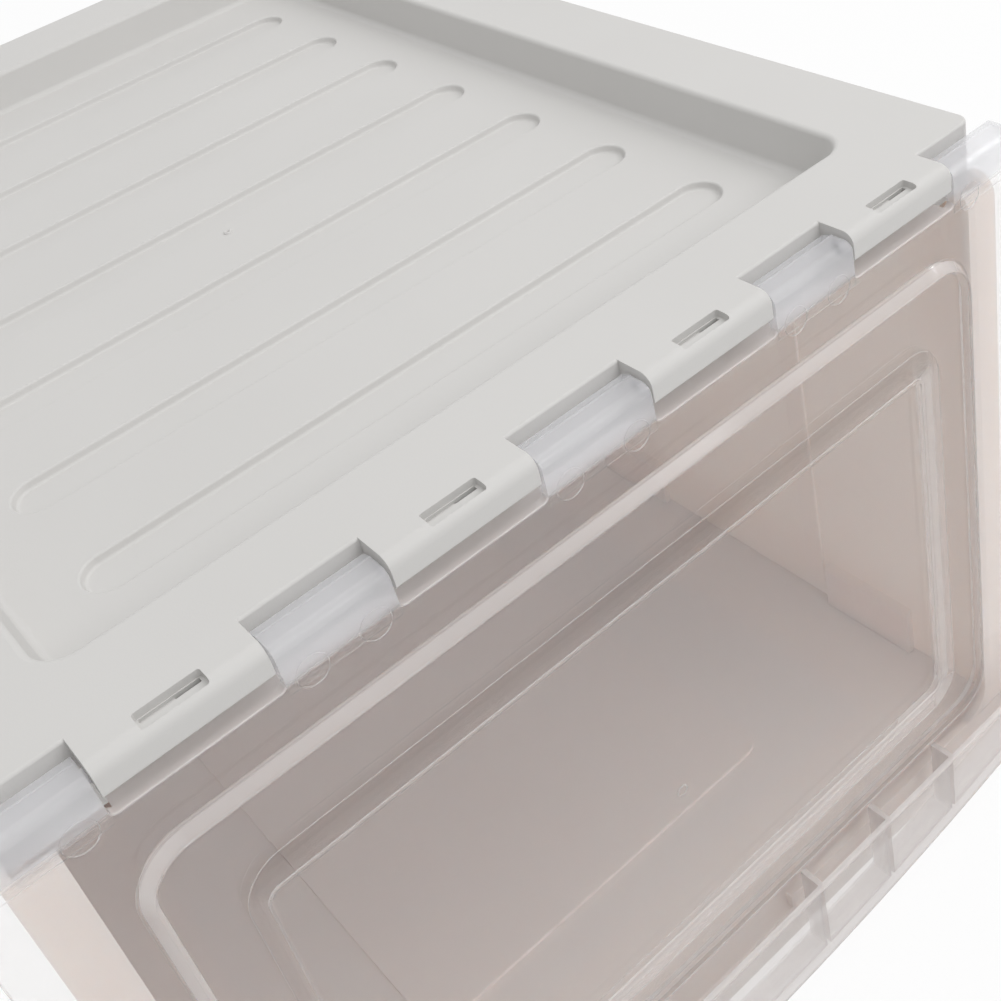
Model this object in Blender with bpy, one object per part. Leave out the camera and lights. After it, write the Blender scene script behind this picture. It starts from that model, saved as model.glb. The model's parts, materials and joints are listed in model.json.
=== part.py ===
"""Stackable shoe box with a flip-up see-through door.

Six mouldings clip together: a base, two sides, a back, a top with a stacking recess and hinge knuckles,
and a door whose rounded tabs turn between the knuckles on moulded stub pins.
Metres, +Z up, front towards -Y, origin under the middle of the box on the surface it stands on.
"""

import math

import bmesh
import bpy

# Overall
BOX_HEIGHT = 0.232
LID_WIDTH = 0.265
LID_DEPTH = 0.341
DOOR_WIDTH = 0.280
LIP_REACH = 0.0086
WALL = 0.0022
SEAM = 0.0003
OVERLAP = 0.0008
OVERSHOOT = 0.004
ARC_STEPS = 6

# Hinge line along the front of the lid
KNUCKLE_RADIUS = 0.0051
KNUCKLE_FLAT_BELOW = 0.0040
NOTCH_DEPTH = 0.0099
KNUCKLE_SPANS = ((0.0153, 0.0508), (0.0773, 0.1116))
WINDOW_LENGTH = 0.0135
WINDOW_WIDTH = 0.0028
WINDOW_BACK = 0.0064
WINDOW_DEPTH = 0.0029
SLIT_WIDTH = 0.0011
PIN_RADIUS = 0.0016
PIN_REACH = 0.0030
PIN_CLEARANCE = 0.0003
BORE_DEPTH = 0.0042
TAB_CLEARANCE = 0.0006
TAB_HEEL = 0.0044
TAB_BROW = 0.0015
TAB_HEIGHT = 0.0021
TAB_RIDGE = 0.0016
TAB_CREST = 0.0038

# Lid
LID_CORNER = 0.0035
LID_SKIRT = 0.018
RIM_SIDE = 0.0239
RIM_FRONT = 0.0279
RIM_BACK = 0.0263
RECESS_DEPTH = 0.0125
RECESS_DRAFT = 0.0026
RECESS_CORNER = 0.008
GROOVE_COUNT = 7
GROOVE_PITCH = 0.0374
GROOVE_HALF_LENGTH = 0.0910
GROOVE_HALF_WIDTH = 0.0063
GROOVE_DEPTH = 0.0020
KEEPER_RIB = 0.0018
KEEPER_HEIGHT = 0.0085

# Door
DOOR_WALL = 0.0020
DOOR_TOP_DROP = 0.0110
DOOR_CORNER = 0.012
DOOR_BOTTOM = 0.0075
DOOR_BOTTOM_SAG = 0.0140
EAR_CORNER = 0.006
FRAME_HALF_WIDTH = 0.1164
FRAME_TOP = 0.2087
FRAME_BOTTOM = 0.0450
FRAME_CORNER = 0.013
FRAME_RISE = 0.0025
FRAME_SLOPE = 0.0020
PANEL_HALF_WIDTH = 0.0965
PANEL_TOP = 0.1800
PANEL_BOTTOM = 0.0637
PANEL_CORNER = 0.003
PANEL_SINK = 0.0020
MOUTH_HALF_WIDTH = 0.1007
MOUTH_TOP = 0.1903
MOUTH_BOTTOM = 0.0603
MOUTH_CORNER = 0.010
LIP_TOP = 0.0416
LIP_WALL = 0.0018
FIN_THICKNESS = 0.0016
FIN_PLACES = (0.034, 0.063, 0.092)

# Body panels
PANEL_WALL = 0.0024
BODY_HALF = 0.1322
FLANGE_WIDTH = 0.0104
FLANGE_TOP = 0.2185
FLANGE_NOSE = 0.0062
FLANGE_FOOT_RADIUS = 0.009
BACK_FLANGE = 0.012
FIELD_INSET = 0.026
FIELD_DEPTH = 0.0008
FIELD_CORNER = 0.012
LUG_LENGTH = 0.036
LUG_REACH = 0.0092
LUG_PAD = 0.020
LUG_THICKNESS = 0.0022
LUG_CHAMFER = 0.004
SIDE_LUG_PLACES = (-0.110, 0.010, 0.130)
BACK_LUG_PLACES = (-0.080, 0.0, 0.080)
HOOK_HEIGHTS = (0.065, 0.118, 0.171)
HOOK_LENGTH = 0.024

# Base
FOOT_HEIGHT = 0.010
FLOOR_TOP = 0.023
SILL_TOP = 0.028
SILL_GAP_HALF = 0.031
FOOT_INSET = 0.0051
FOOT_WALL = 0.0030
BASE_CORNER = 0.0035
RIB_THICKNESS = 0.0018
RIB_PITCH = 0.0706
TREAD_HALF_WIDTH = 0.067
TREAD_FRONT = -0.116
TREAD_BACK = 0.140
TREAD_RISE = 0.0012
TREAD_CORNER = 0.006

# Derived places
HALF_LID = LID_WIDTH / 2
HALF_DOOR = DOOR_WIDTH / 2
BACK = (LID_DEPTH + LIP_REACH) / 2
FRONT = BACK - LID_DEPTH
LIP_FRONT = FRONT - LIP_REACH
AXIS_Y = FRONT + KNUCKLE_RADIUS
AXIS_Z = BOX_HEIGHT - KNUCKLE_RADIUS
NOTCH_BACK = FRONT + NOTCH_DEPTH
SKIRT_BOTTOM = BOX_HEIGHT - LID_SKIRT
RECESS_HALF = HALF_LID - RIM_SIDE
RECESS_FRONT = FRONT + RIM_FRONT
RECESS_BACK = BACK - RIM_BACK
RECESS_FLOOR = BOX_HEIGHT - RECESS_DEPTH
RECESS_MIDDLE = (RECESS_FRONT + RECESS_BACK) / 2
DOOR_TOP = BOX_HEIGHT - DOOR_TOP_DROP
BODY_FRONT = FRONT + DOOR_WALL + 4 * SEAM
BODY_BACK = BACK - SEAM
BACK_PANEL_FRONT = BODY_BACK - PANEL_WALL
SIDE_BACK = BACK_PANEL_FRONT - SEAM
PANEL_FOOT = FLOOR_TOP + SEAM
PANEL_HEAD = SKIRT_BOTTOM - SEAM
LUG_FACE = BODY_HALF - PANEL_WALL - SEAM

PLASTICS = {
    "top_panel": ((0.64, 0.63, 0.61, 1.0), 0.48),
    "base_panel": ((0.68, 0.60, 0.53, 1.0), 0.50),
    "left_side_panel": ((0.68, 0.60, 0.53, 1.0), 0.50),
    "right_side_panel": ((0.68, 0.60, 0.53, 1.0), 0.50),
    "back_panel": ((0.68, 0.60, 0.53, 1.0), 0.50),
    "front_door": ((0.86, 0.86, 0.87, 0.35), 0.22),
}


# Outlines
def arc(centre, radius, start, end, steps=ARC_STEPS):
    """Points on a circle from one angle to another, in degrees, both ends included."""
    points = []
    for k in range(steps + 1):
        angle = math.radians(start + (end - start) * k / steps)
        points.append((centre[0] + radius * math.cos(angle), centre[1] + radius * math.sin(angle)))
    return points


def rounded_rectangle(x0, x1, y0, y1, radius):
    """Counter-clockwise outline with four equal corners."""
    return (
        arc((x0 + radius, y0 + radius), radius, 180, 270)
        + arc((x1 - radius, y0 + radius), radius, 270, 360)
        + arc((x1 - radius, y1 - radius), radius, 0, 90)
        + arc((x0 + radius, y1 - radius), radius, 90, 180)
    )


def obround(half_length, half_width, y):
    """A slot outline along X with round ends."""
    reach = half_length - half_width
    return arc((reach, y), half_width, -90, 90, 2 * ARC_STEPS) + arc(
        (-reach, y), half_width, 90, 270, 2 * ARC_STEPS
    )


def door_bottom(x):
    """Height of the door's lower edge, which dips towards the middle."""
    return DOOR_BOTTOM + DOOR_BOTTOM_SAG * (x / HALF_DOOR) ** 2


def door_outline(inset, top, corner):
    """The door seen from the front, with its dipping lower edge, drawn in by an inset."""
    half = HALF_DOOR - inset
    shoulder = half - corner
    low = [
        (shoulder * (2 * k / 16 - 1), door_bottom(shoulder * (2 * k / 16 - 1)) + inset) for k in range(1, 16)
    ]
    side_low = door_bottom(shoulder) + inset + corner
    left = arc((-shoulder, side_low), corner, 180, 270)
    right = arc((shoulder, side_low), corner, 270, 360)
    return left + low + right + [(half, top), (-half, top)]


# Solids
def new_object(name, mesh, helper=False):
    piece = bpy.data.objects.new(name, mesh)
    bpy.context.scene.collection.objects.link(piece)
    if helper:
        piece.hide_render = True
        piece.display_type = "WIRE"
    return piece


def finish_mesh(name, work):
    bmesh.ops.recalc_face_normals(work, faces=work.faces)
    mesh = bpy.data.meshes.new(name)
    work.to_mesh(mesh)
    work.free()
    mesh.shade_smooth()
    mesh.set_sharp_from_angle(angle=math.radians(35))
    return mesh


def place(point, depth, plane):
    """A 2-D outline point at a depth, as a 3-D point, for an outline drawn in that plane."""
    u, v = point
    return {"XY": (u, v, depth), "XZ": (u, depth, v), "YZ": (depth, u, v)}[plane]


def loft(name, sections, plane, helper=True):
    """A closed solid through outlines of equal length, given as (outline, depth) pairs."""
    work = bmesh.new()
    rings = []
    for outline, depth in sections:
        rings.append([work.verts.new(place(point, depth, plane)) for point in outline])
    for near, far in zip(rings, rings[1:]):
        for k in range(len(near)):
            after = (k + 1) % len(near)
            work.faces.new((near[k], near[after], far[after], far[k]))
    work.faces.new(rings[0])
    work.faces.new(list(reversed(rings[-1])))
    return new_object(name, finish_mesh(name, work), helper)


def prism(name, outline, plane, start, end, helper=True):
    return loft(name, ((outline, start), (outline, end)), plane, helper)


def block(name, low, high):
    """A box between two corners, as a helper solid."""
    outline = [(low[0], low[1]), (high[0], low[1]), (high[0], high[1]), (low[0], high[1])]
    return prism(name, outline, "XY", low[2], high[2])


def rod(name, x0, x1, radius):
    """A round bar along the hinge axis."""
    outline = arc((AXIS_Y, AXIS_Z), radius, 0, 330, 11)
    return prism(name, outline, "YZ", x0, x1)


def combine(piece, tool, operation):
    step = piece.modifiers.new(tool.name, "BOOLEAN")
    step.operation = operation
    step.solver = "EXACT"
    step.object = tool


def cut(piece, tool):
    combine(piece, tool, "DIFFERENCE")


def join(piece, tool):
    combine(piece, tool, "UNION")


def both_sides(spans):
    """Each (start, end) span along X and its mirror image."""
    return [span for start, end in spans for span in ((start, end), (-end, -start))]


def give_plastic(piece):
    colour, roughness = PLASTICS[piece.name]
    material = bpy.data.materials.new(piece.name + "_plastic")
    material.use_nodes = True
    shader = material.node_tree.nodes["Principled BSDF"]
    shader.inputs["Base Color"].default_value = colour
    shader.inputs["Alpha"].default_value = colour[3]
    shader.inputs["Roughness"].default_value = roughness
    shader.inputs["Metallic"].default_value = 0.0
    piece.data.materials.append(material)


# Top panel
def add_recess(lid):
    """The stacking recess: a thin tub hung in the lid, with grooves pressed into its floor."""
    outer = rounded_rectangle(
        -RECESS_HALF - WALL, RECESS_HALF + WALL, RECESS_FRONT - WALL, RECESS_BACK + WALL, RECESS_CORNER + WALL
    )
    join(lid, prism("recess_tub", outer, "XY", RECESS_FLOOR - WALL, BOX_HEIGHT - WALL / 2))
    first = RECESS_MIDDLE - GROOVE_PITCH * (GROOVE_COUNT - 1) / 2
    places = [first + GROOVE_PITCH * k for k in range(GROOVE_COUNT)]
    for k, y in enumerate(places):
        pad = obround(GROOVE_HALF_LENGTH + WALL, GROOVE_HALF_WIDTH + WALL, y)
        low = RECESS_FLOOR - GROOVE_DEPTH - WALL
        join(lid, prism(f"groove_pad_{k}", pad, "XY", low, RECESS_FLOOR - WALL / 2))
    slope = RECESS_DRAFT * (RECESS_DEPTH + OVERSHOOT) / RECESS_DEPTH
    floor, mouth = (
        rounded_rectangle(
            -RECESS_HALF + d, RECESS_HALF - d, RECESS_FRONT + d, RECESS_BACK - d, RECESS_CORNER - d / 2
        )
        for d in (RECESS_DRAFT, RECESS_DRAFT - slope)
    )
    cut(lid, loft("recess", ((floor, RECESS_FLOOR), (mouth, BOX_HEIGHT + OVERSHOOT)), "XY"))
    for k, y in enumerate(places):
        groove = obround(GROOVE_HALF_LENGTH, GROOVE_HALF_WIDTH, y)
        cut(lid, prism(f"groove_{k}", groove, "XY", RECESS_FLOOR - GROOVE_DEPTH, RECESS_FLOOR + OVERSHOOT))


def knuckle_outline():
    """Section of a knuckle: flat top level with the lid, round nose, flat underside."""
    low = math.degrees(math.asin(KNUCKLE_FLAT_BELOW / KNUCKLE_RADIUS))
    nose = arc((AXIS_Y, AXIS_Z), KNUCKLE_RADIUS, 90, 180 + low, 12)
    return nose + [(NOTCH_BACK + WALL / 2, AXIS_Z - KNUCKLE_FLAT_BELOW), (NOTCH_BACK + WALL / 2, BOX_HEIGHT)]


def add_knuckles(lid):
    """Four hinge knuckles, each with a window in its nose and a blind pin bore at both ends."""
    spans = both_sides(KNUCKLE_SPANS)
    for k, (start, end) in enumerate(spans):
        join(lid, prism(f"knuckle_{k}", knuckle_outline(), "YZ", start, end))
    for k, (start, end) in enumerate(spans):
        middle = (start + end) / 2
        back = NOTCH_BACK - WINDOW_BACK
        x0, x1 = middle - WINDOW_LENGTH / 2, middle + WINDOW_LENGTH / 2
        window_low = (x0, back - WINDOW_WIDTH, BOX_HEIGHT - WINDOW_DEPTH)
        cut(lid, block(f"window_{k}", window_low, (x1, back, BOX_HEIGHT + OVERSHOOT)))
        slit_low = (x0 + OVERLAP, back - SLIT_WIDTH, SKIRT_BOTTOM)
        cut(lid, block(f"slit_{k}", slit_low, (x1 - OVERLAP, back - SEAM, BOX_HEIGHT - WINDOW_DEPTH + SEAM)))
        bore = PIN_RADIUS + PIN_CLEARANCE
        cut(lid, rod(f"bore_start_{k}", start - OVERSHOOT, start + BORE_DEPTH, bore))
        cut(lid, rod(f"bore_end_{k}", end - BORE_DEPTH, end + OVERSHOOT, bore))


def add_keeper_ribs(lid):
    """Ribs under the rim that hold the lugs of the side and back panels against the skirt."""
    outer = LUG_FACE - LUG_THICKNESS - 2 * SEAM
    low, high = BOX_HEIGHT - WALL - KEEPER_HEIGHT, BOX_HEIGHT - WALL / 2
    for side in (-1, 1):
        x0, x1 = sorted((side * outer, side * (outer - KEEPER_RIB)))
        join(lid, block(f"side_keeper_{side}", (x0, RECESS_FRONT, low), (x1, RECESS_BACK, high)))
    y1 = BACK_PANEL_FRONT - SEAM - LUG_THICKNESS - 2 * SEAM
    join(lid, block("back_keeper", (-RECESS_HALF, y1 - KEEPER_RIB, low), (RECESS_HALF, y1, high)))


def make_top_panel():
    outline = rounded_rectangle(-HALF_LID, HALF_LID, NOTCH_BACK, BACK, LID_CORNER)
    lid = prism("top_panel", outline, "XY", SKIRT_BOTTOM, BOX_HEIGHT, helper=False)
    hollow = rounded_rectangle(
        -HALF_LID + WALL, HALF_LID - WALL, NOTCH_BACK + WALL, BACK - WALL, LID_CORNER - WALL / 2
    )
    cut(lid, prism("lid_hollow", hollow, "XY", SKIRT_BOTTOM - OVERSHOOT, BOX_HEIGHT - WALL))
    add_recess(lid)
    add_keeper_ribs(lid)
    add_knuckles(lid)
    return lid


# Front door
def door_sheet():
    """The door's front skin: a plate with a raised picture-frame band and a sunken middle panel.

    The slope down from the band to the panel is steep at the sides and the foot, and long at the top.
    """
    work = bmesh.new()

    def ring(half, bottom, top, corner, y):
        return [work.verts.new((x, y, z)) for x, z in rounded_rectangle(-half, half, bottom, top, corner)]

    brow = FRONT - FRAME_RISE
    slope = FRAME_SLOPE
    rings = [
        ring(FRAME_HALF_WIDTH, FRAME_BOTTOM, FRAME_TOP, FRAME_CORNER, FRONT),
        ring(FRAME_HALF_WIDTH - slope, FRAME_BOTTOM + slope, FRAME_TOP - slope, FRAME_CORNER - slope, brow),
        ring(MOUTH_HALF_WIDTH, MOUTH_BOTTOM, MOUTH_TOP, MOUTH_CORNER, brow),
        ring(PANEL_HALF_WIDTH, PANEL_BOTTOM, PANEL_TOP, PANEL_CORNER, brow + PANEL_SINK),
    ]
    for near, far in zip(rings, rings[1:]):
        for k in range(len(near)):
            after = (k + 1) % len(near)
            work.faces.new((near[k], near[after], far[after], far[k]))
    work.faces.new(rings[-1])
    edge = [work.verts.new((x, FRONT, z)) for x, z in door_outline(0.0, DOOR_TOP, DOOR_CORNER)]
    border = [work.edges.new((edge[k], edge[k - 1])) for k in range(len(edge))]
    border += [work.edges.get((rings[0][k], rings[0][k - 1])) for k in range(len(rings[0]))]
    bmesh.ops.triangle_fill(work, edges=border, use_beauty=True)
    bmesh.ops.recalc_face_normals(work, faces=work.faces)
    if sum(face.normal.y * face.calc_area() for face in work.faces) > 0:
        bmesh.ops.reverse_faces(work, faces=work.faces)
    mesh = bpy.data.meshes.new("front_door")
    work.to_mesh(mesh)
    work.free()
    door = new_object("front_door", mesh)
    thicken = door.modifiers.new("wall", "SOLIDIFY")
    thicken.thickness = DOOR_WALL
    thicken.offset = -1.0
    thicken.use_even_offset = True
    return door


def tab_outline():
    """Section of a door tab: flat top with a ridge, eased front edge and a round heel about the pin."""
    proud = KNUCKLE_RADIUS + SEAM / 2
    leg_back = FRONT + DOOR_WALL + SEAM / 2 - AXIS_Y
    leg_low = DOOR_TOP - 2 * OVERLAP - AXIS_Z
    shape = [(leg_back, leg_low), (-proud, leg_low)]
    shape += [(-u, v) for u, v in arc((proud - TAB_BROW, 0.0), TAB_BROW, 0, 70, 4)]
    shape += [(TAB_RIDGE, TAB_HEIGHT), (TAB_CREST, TAB_HEIGHT)]
    shape += arc((0.0, 0.0), TAB_HEEL, 0, -110, 8)
    shape += [(leg_back, -TAB_HEEL)]
    return [(AXIS_Y + u, AXIS_Z + v) for u, v in shape]


def add_tabs(door):
    """Three middle tabs and two corner ears, with stub pins that run in the knuckle bores."""
    (inner_0, inner_1), (outer_0, outer_1) = KNUCKLE_SPANS
    tabs = [(-inner_0, inner_0)] + both_sides(((inner_1, outer_0),))
    for k, (start, end) in enumerate(tabs):
        x0, x1 = start + TAB_CLEARANCE, end - TAB_CLEARANCE
        join(door, prism(f"tab_{k}", tab_outline(), "YZ", x0, x1))
        join(door, rod(f"pin_start_{k}", x0 - PIN_REACH, x0 + OVERLAP, PIN_RADIUS))
        join(door, rod(f"pin_end_{k}", x1 - OVERLAP, x1 + PIN_REACH, PIN_RADIUS))
    for side in (-1, 1):
        near, far = side * (outer_1 + TAB_CLEARANCE), side * HALF_DOOR
        ear = prism(f"ear_{side}", tab_outline(), "YZ", *sorted((near, far)))
        ridge = AXIS_Z + TAB_HEIGHT
        corner = arc((far - side * EAR_CORNER, ridge - EAR_CORNER), EAR_CORNER, 90, 90 - 90 * side)
        outside = corner + [(far + side * OVERSHOOT, corner[-1][1])]
        outside += [(far + side * OVERSHOOT, BOX_HEIGHT + OVERSHOOT), (corner[0][0], BOX_HEIGHT + OVERSHOOT)]
        cut(ear, prism(f"ear_round_{side}", outside, "XZ", FRONT - OVERSHOOT, NOTCH_BACK + OVERSHOOT))
        join(door, ear)
        pin_ends = sorted((near - side * PIN_REACH, near + side * OVERLAP))
        join(door, rod(f"ear_pin_{side}", *pin_ends, PIN_RADIUS))


def add_pull_lip(door):
    """A trough along the lower edge to hook the fingers in, open at the top and braced by fins."""
    wall = SEAM + LIP_WALL
    outer = door_outline(SEAM, LIP_TOP, DOOR_CORNER - SEAM)
    inner = door_outline(wall, LIP_TOP + OVERSHOOT, DOOR_CORNER - wall)
    trough = prism("lip_trough", outer, "XZ", LIP_FRONT, FRONT + OVERLAP)
    cut(trough, prism("lip_hollow", inner, "XZ", LIP_FRONT + LIP_WALL, FRONT + OVERSHOOT))
    join(door, trough)
    near, far = FRONT + OVERLAP, LIP_FRONT + LIP_WALL - OVERLAP
    for k, x in enumerate(FIN_PLACES):
        for side in (-1, 1):
            low = door_bottom(x) + wall / 2
            outline = [(near, low), (near, LIP_TOP - SEAM), (far, LIP_TOP - SEAM), (far, low)]
            x0, x1 = side * x - FIN_THICKNESS / 2, side * x + FIN_THICKNESS / 2
            join(door, prism(f"fin_{k}_{side}", outline, "YZ", x0, x1))


def make_front_door():
    """The door: a stepped plate, the tabs that it turns on, and the trough that it is pulled up by."""
    door = door_sheet()
    add_tabs(door)
    add_pull_lip(door)
    return door


# Body panels
def lug_outline(edge, inwards, face):
    """Section of a clip lug beside a panel edge: a pad on the wall and a tongue past the edge.

    edge is the height of the panel's edge, inwards is +1 for a foot and -1 for a head, and face is the
    distance of the tongue's outer face from the middle of the box.
    """
    tip = edge - inwards * LUG_REACH
    pad = edge + inwards * LUG_PAD
    wall = face + SEAM + PANEL_WALL / 2
    inner = face - LUG_THICKNESS
    shoulder = pad - inwards * LUG_CHAMFER
    return [(inner, tip), (face, tip), (face, edge), (wall, edge), (wall, pad), (inner, shoulder)]


def side_profile():
    """The side panel from the side: square at the back, with a nose that rises in front of the lid."""
    nose = arc((NOTCH_BACK - SEAM, FLANGE_TOP - FLANGE_NOSE), FLANGE_NOSE, 180, 90)
    return [(BODY_FRONT, PANEL_FOOT)] + nose + [
        (NOTCH_BACK - SEAM, PANEL_HEAD),
        (SIDE_BACK, PANEL_HEAD),
        (SIDE_BACK, PANEL_FOOT),
    ]


def make_side_panel(name, side):
    """One side: a wall with turned-in front and back flanges, lugs above and below, and a shallow field."""
    inner_wall = BODY_HALF - PANEL_WALL
    deep = BODY_HALF - FLANGE_WIDTH - FLANGE_FOOT_RADIUS
    panel = prism(name, side_profile(), "YZ", *sorted((side * deep, side * BODY_HALF)), helper=False)

    hollow_front, hollow_back = BODY_FRONT + PANEL_WALL, SIDE_BACK - PANEL_WALL
    x0, x1 = sorted((side * (deep - OVERSHOOT), side * inner_wall))
    cut(panel, block(name + "_hollow", (x0, hollow_front, 0.0), (x1, hollow_back, BOX_HEIGHT)))

    edge = BODY_HALF - FLANGE_WIDTH
    foot = SILL_TOP + SEAM
    outside = deep - OVERSHOOT
    doorway = arc((deep, foot + FLANGE_FOOT_RADIUS), FLANGE_FOOT_RADIUS, 270, 360)
    doorway += [(edge, BOX_HEIGHT), (outside, BOX_HEIGHT), (outside, foot)]
    doorway = [(side * x, z) for x, z in doorway]
    cut(panel, prism(name + "_doorway", doorway, "XZ", BODY_FRONT - OVERSHOOT, hollow_front + OVERSHOOT))
    sill_low = (x0, BODY_FRONT - OVERSHOOT, 0.0)
    cut(panel, block(name + "_sill_rest", sill_low, (x1, hollow_front + OVERSHOOT, foot)))
    x2, x3 = sorted((side * outside, side * (BODY_HALF - BACK_FLANGE)))
    cut(panel, block(name + "_back_opening", (x2, hollow_back - OVERSHOOT, 0.0), (x3, BACK, BOX_HEIGHT)))

    field = rounded_rectangle(
        BODY_FRONT + FIELD_INSET, SIDE_BACK - FIELD_INSET, PANEL_FOOT + FIELD_INSET, PANEL_HEAD - FIELD_INSET,
        FIELD_CORNER,
    )
    x4, x5 = sorted((side * (BODY_HALF - FIELD_DEPTH), side * (BODY_HALF + OVERSHOOT)))
    cut(panel, prism(name + "_field", field, "YZ", x4, x5))
    for label, rim, inwards in (("foot", PANEL_FOOT, 1), ("head", PANEL_HEAD, -1)):
        outline = [(side * x, z) for x, z in lug_outline(rim, inwards, LUG_FACE)]
        for k, y in enumerate(SIDE_LUG_PLACES):
            lug = prism(f"{name}_{label}_lug_{k}", outline, "XZ", y - LUG_LENGTH / 2, y + LUG_LENGTH / 2)
            join(panel, lug)
    for k, z in enumerate(HOOK_HEIGHTS):
        x6, x7 = hook_span(side, SEAM)
        low = (x6, hollow_back - OVERSHOOT, z - HOOK_LENGTH / 2 - SEAM)
        cut(panel, block(f"{name}_hook_slot_{k}", low, (x7, BACK, z + HOOK_LENGTH / 2 + SEAM)))
    return panel


def hook_span(side, clearance):
    """Where the back panel's hooks pass through the side panel's rear flange, along X."""
    middle = BODY_HALF - BACK_FLANGE / 2 - PANEL_WALL / 2
    half = LUG_THICKNESS / 2 + clearance
    return sorted((side * (middle - half), side * (middle + half)))


def make_back_panel():
    """The back: a plate with lugs above and below and hooks that catch the side panels' rear flanges."""
    left, right = -BODY_HALF, BODY_HALF
    outline = [(left, PANEL_FOOT), (right, PANEL_FOOT), (right, PANEL_HEAD), (left, PANEL_HEAD)]
    panel = prism("back_panel", outline, "XZ", BACK_PANEL_FRONT, BODY_BACK, helper=False)
    field = rounded_rectangle(
        -BODY_HALF + FIELD_INSET, BODY_HALF - FIELD_INSET, PANEL_FOOT + FIELD_INSET, PANEL_HEAD - FIELD_INSET,
        FIELD_CORNER,
    )
    cut(panel, prism("back_field", field, "XZ", BODY_BACK - FIELD_DEPTH, BODY_BACK + OVERSHOOT))
    for label, rim, inwards in (("foot", PANEL_FOOT, 1), ("head", PANEL_HEAD, -1)):
        section = lug_outline(rim, inwards, BACK_PANEL_FRONT - SEAM)
        for k, x in enumerate(BACK_LUG_PLACES):
            x0, x1 = x - LUG_LENGTH / 2, x + LUG_LENGTH / 2
            join(panel, prism(f"back_{label}_lug_{k}", section, "YZ", x0, x1))
    for side in (-1, 1):
        x0, x1 = hook_span(side, 0.0)
        for k, z in enumerate(HOOK_HEIGHTS):
            low = (x0, SIDE_BACK - PANEL_WALL - LUG_THICKNESS, z - HOOK_LENGTH / 2)
            join(panel, block(f"hook_{side}_{k}", low, (x1, BACK_PANEL_FRONT + OVERLAP, z + HOOK_LENGTH / 2)))
    return panel


# Base panel
def add_foot(base):
    """The foot frame that drops into the recess of the box below, braced by ribs under the floor."""
    half = RECESS_HALF - FOOT_INSET
    front, back = RECESS_FRONT + FOOT_INSET, RECESS_BACK - FOOT_INSET
    top = FLOOR_TOP - WALL / 2
    foot = prism("foot_frame", rounded_rectangle(-half, half, front, back, RECESS_CORNER), "XY", 0.0, top)
    inner = rounded_rectangle(
        -half + FOOT_WALL, half - FOOT_WALL, front + FOOT_WALL, back - FOOT_WALL, RECESS_CORNER - FOOT_WALL
    )
    cut(foot, prism("foot_hollow", inner, "XY", -OVERSHOOT, FLOOR_TOP - WALL))
    reach = FOOT_WALL / 2
    for k in (-1, 0, 1):
        y = RECESS_MIDDLE + RIB_PITCH * k
        low = (-half + reach, y - RIB_THICKNESS / 2, FOOT_HEIGHT)
        join(foot, block(f"cross_rib_{k}", low, (half - reach, y + RIB_THICKNESS / 2, top - SEAM)))
    low = (-RIB_THICKNESS / 2, front + reach, FOOT_HEIGHT + SEAM)
    join(foot, block("long_rib", low, (RIB_THICKNESS / 2, back - reach, top - 2 * SEAM)))
    join(base, foot)


def add_sill(base):
    """A low step behind the door at each side, with a gap in the middle."""
    high = BODY_HALF - PANEL_WALL - SEAM
    for side in (-1, 1):
        x0, x1 = sorted((side * SILL_GAP_HALF, side * high))
        low = (x0, BODY_FRONT, FLOOR_TOP - WALL / 2)
        join(base, block(f"sill_{side}", low, (x1, BODY_FRONT + PANEL_WALL, SILL_TOP)))


def add_lug_slots(base):
    """Slots through the floor that the panels' lugs push down into."""
    inner, outer = LUG_FACE - LUG_THICKNESS - SEAM, LUG_FACE + SEAM / 2
    half = LUG_LENGTH / 2 + SEAM
    low, high = FOOT_HEIGHT, FLOOR_TOP + OVERSHOOT
    for side in (-1, 1):
        x0, x1 = sorted((side * inner, side * outer))
        for k, y in enumerate(SIDE_LUG_PLACES):
            cut(base, block(f"side_slot_{side}_{k}", (x0, y - half, low), (x1, y + half, high)))
    y1 = BACK_PANEL_FRONT - SEAM / 2
    y0 = y1 - LUG_THICKNESS - 2 * SEAM
    for k, x in enumerate(BACK_LUG_PLACES):
        cut(base, block(f"back_slot_{k}", (x - half, y0, low), (x + half, y1, high)))


def make_base_panel():
    outline = rounded_rectangle(-BODY_HALF, BODY_HALF, BODY_FRONT, BODY_BACK, BASE_CORNER)
    base = prism("base_panel", outline, "XY", FOOT_HEIGHT, FLOOR_TOP, helper=False)
    hollow = rounded_rectangle(
        -BODY_HALF + WALL, BODY_HALF - WALL, BODY_FRONT + WALL, BODY_BACK - WALL, BASE_CORNER - WALL / 2
    )
    cut(base, prism("base_hollow", hollow, "XY", FOOT_HEIGHT - OVERSHOOT, FLOOR_TOP - WALL))
    add_foot(base)
    add_sill(base)
    tread = rounded_rectangle(-TREAD_HALF_WIDTH, TREAD_HALF_WIDTH, TREAD_FRONT, TREAD_BACK, TREAD_CORNER)
    join(base, prism("floor_tread", tread, "XY", FLOOR_TOP - WALL / 2, FLOOR_TOP + TREAD_RISE))
    add_lug_slots(base)
    return base


def hang_on_hinge(piece, hinge):
    """Parents a piece, and the helper solids that shape it, to the empty on its hinge axis."""
    piece.parent = hinge
    piece.location = (0.0, -AXIS_Y, -AXIS_Z)
    for step in piece.modifiers:
        if step.type == "BOOLEAN":
            hang_on_hinge(step.object, hinge)


def make_hinge():
    """An empty on the door's axis: turning it about X swings the door."""
    hinge = bpy.data.objects.new("door_hinge", None)
    hinge.location = (0.0, AXIS_Y, AXIS_Z)
    bpy.context.scene.collection.objects.link(hinge)
    return hinge


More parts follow.
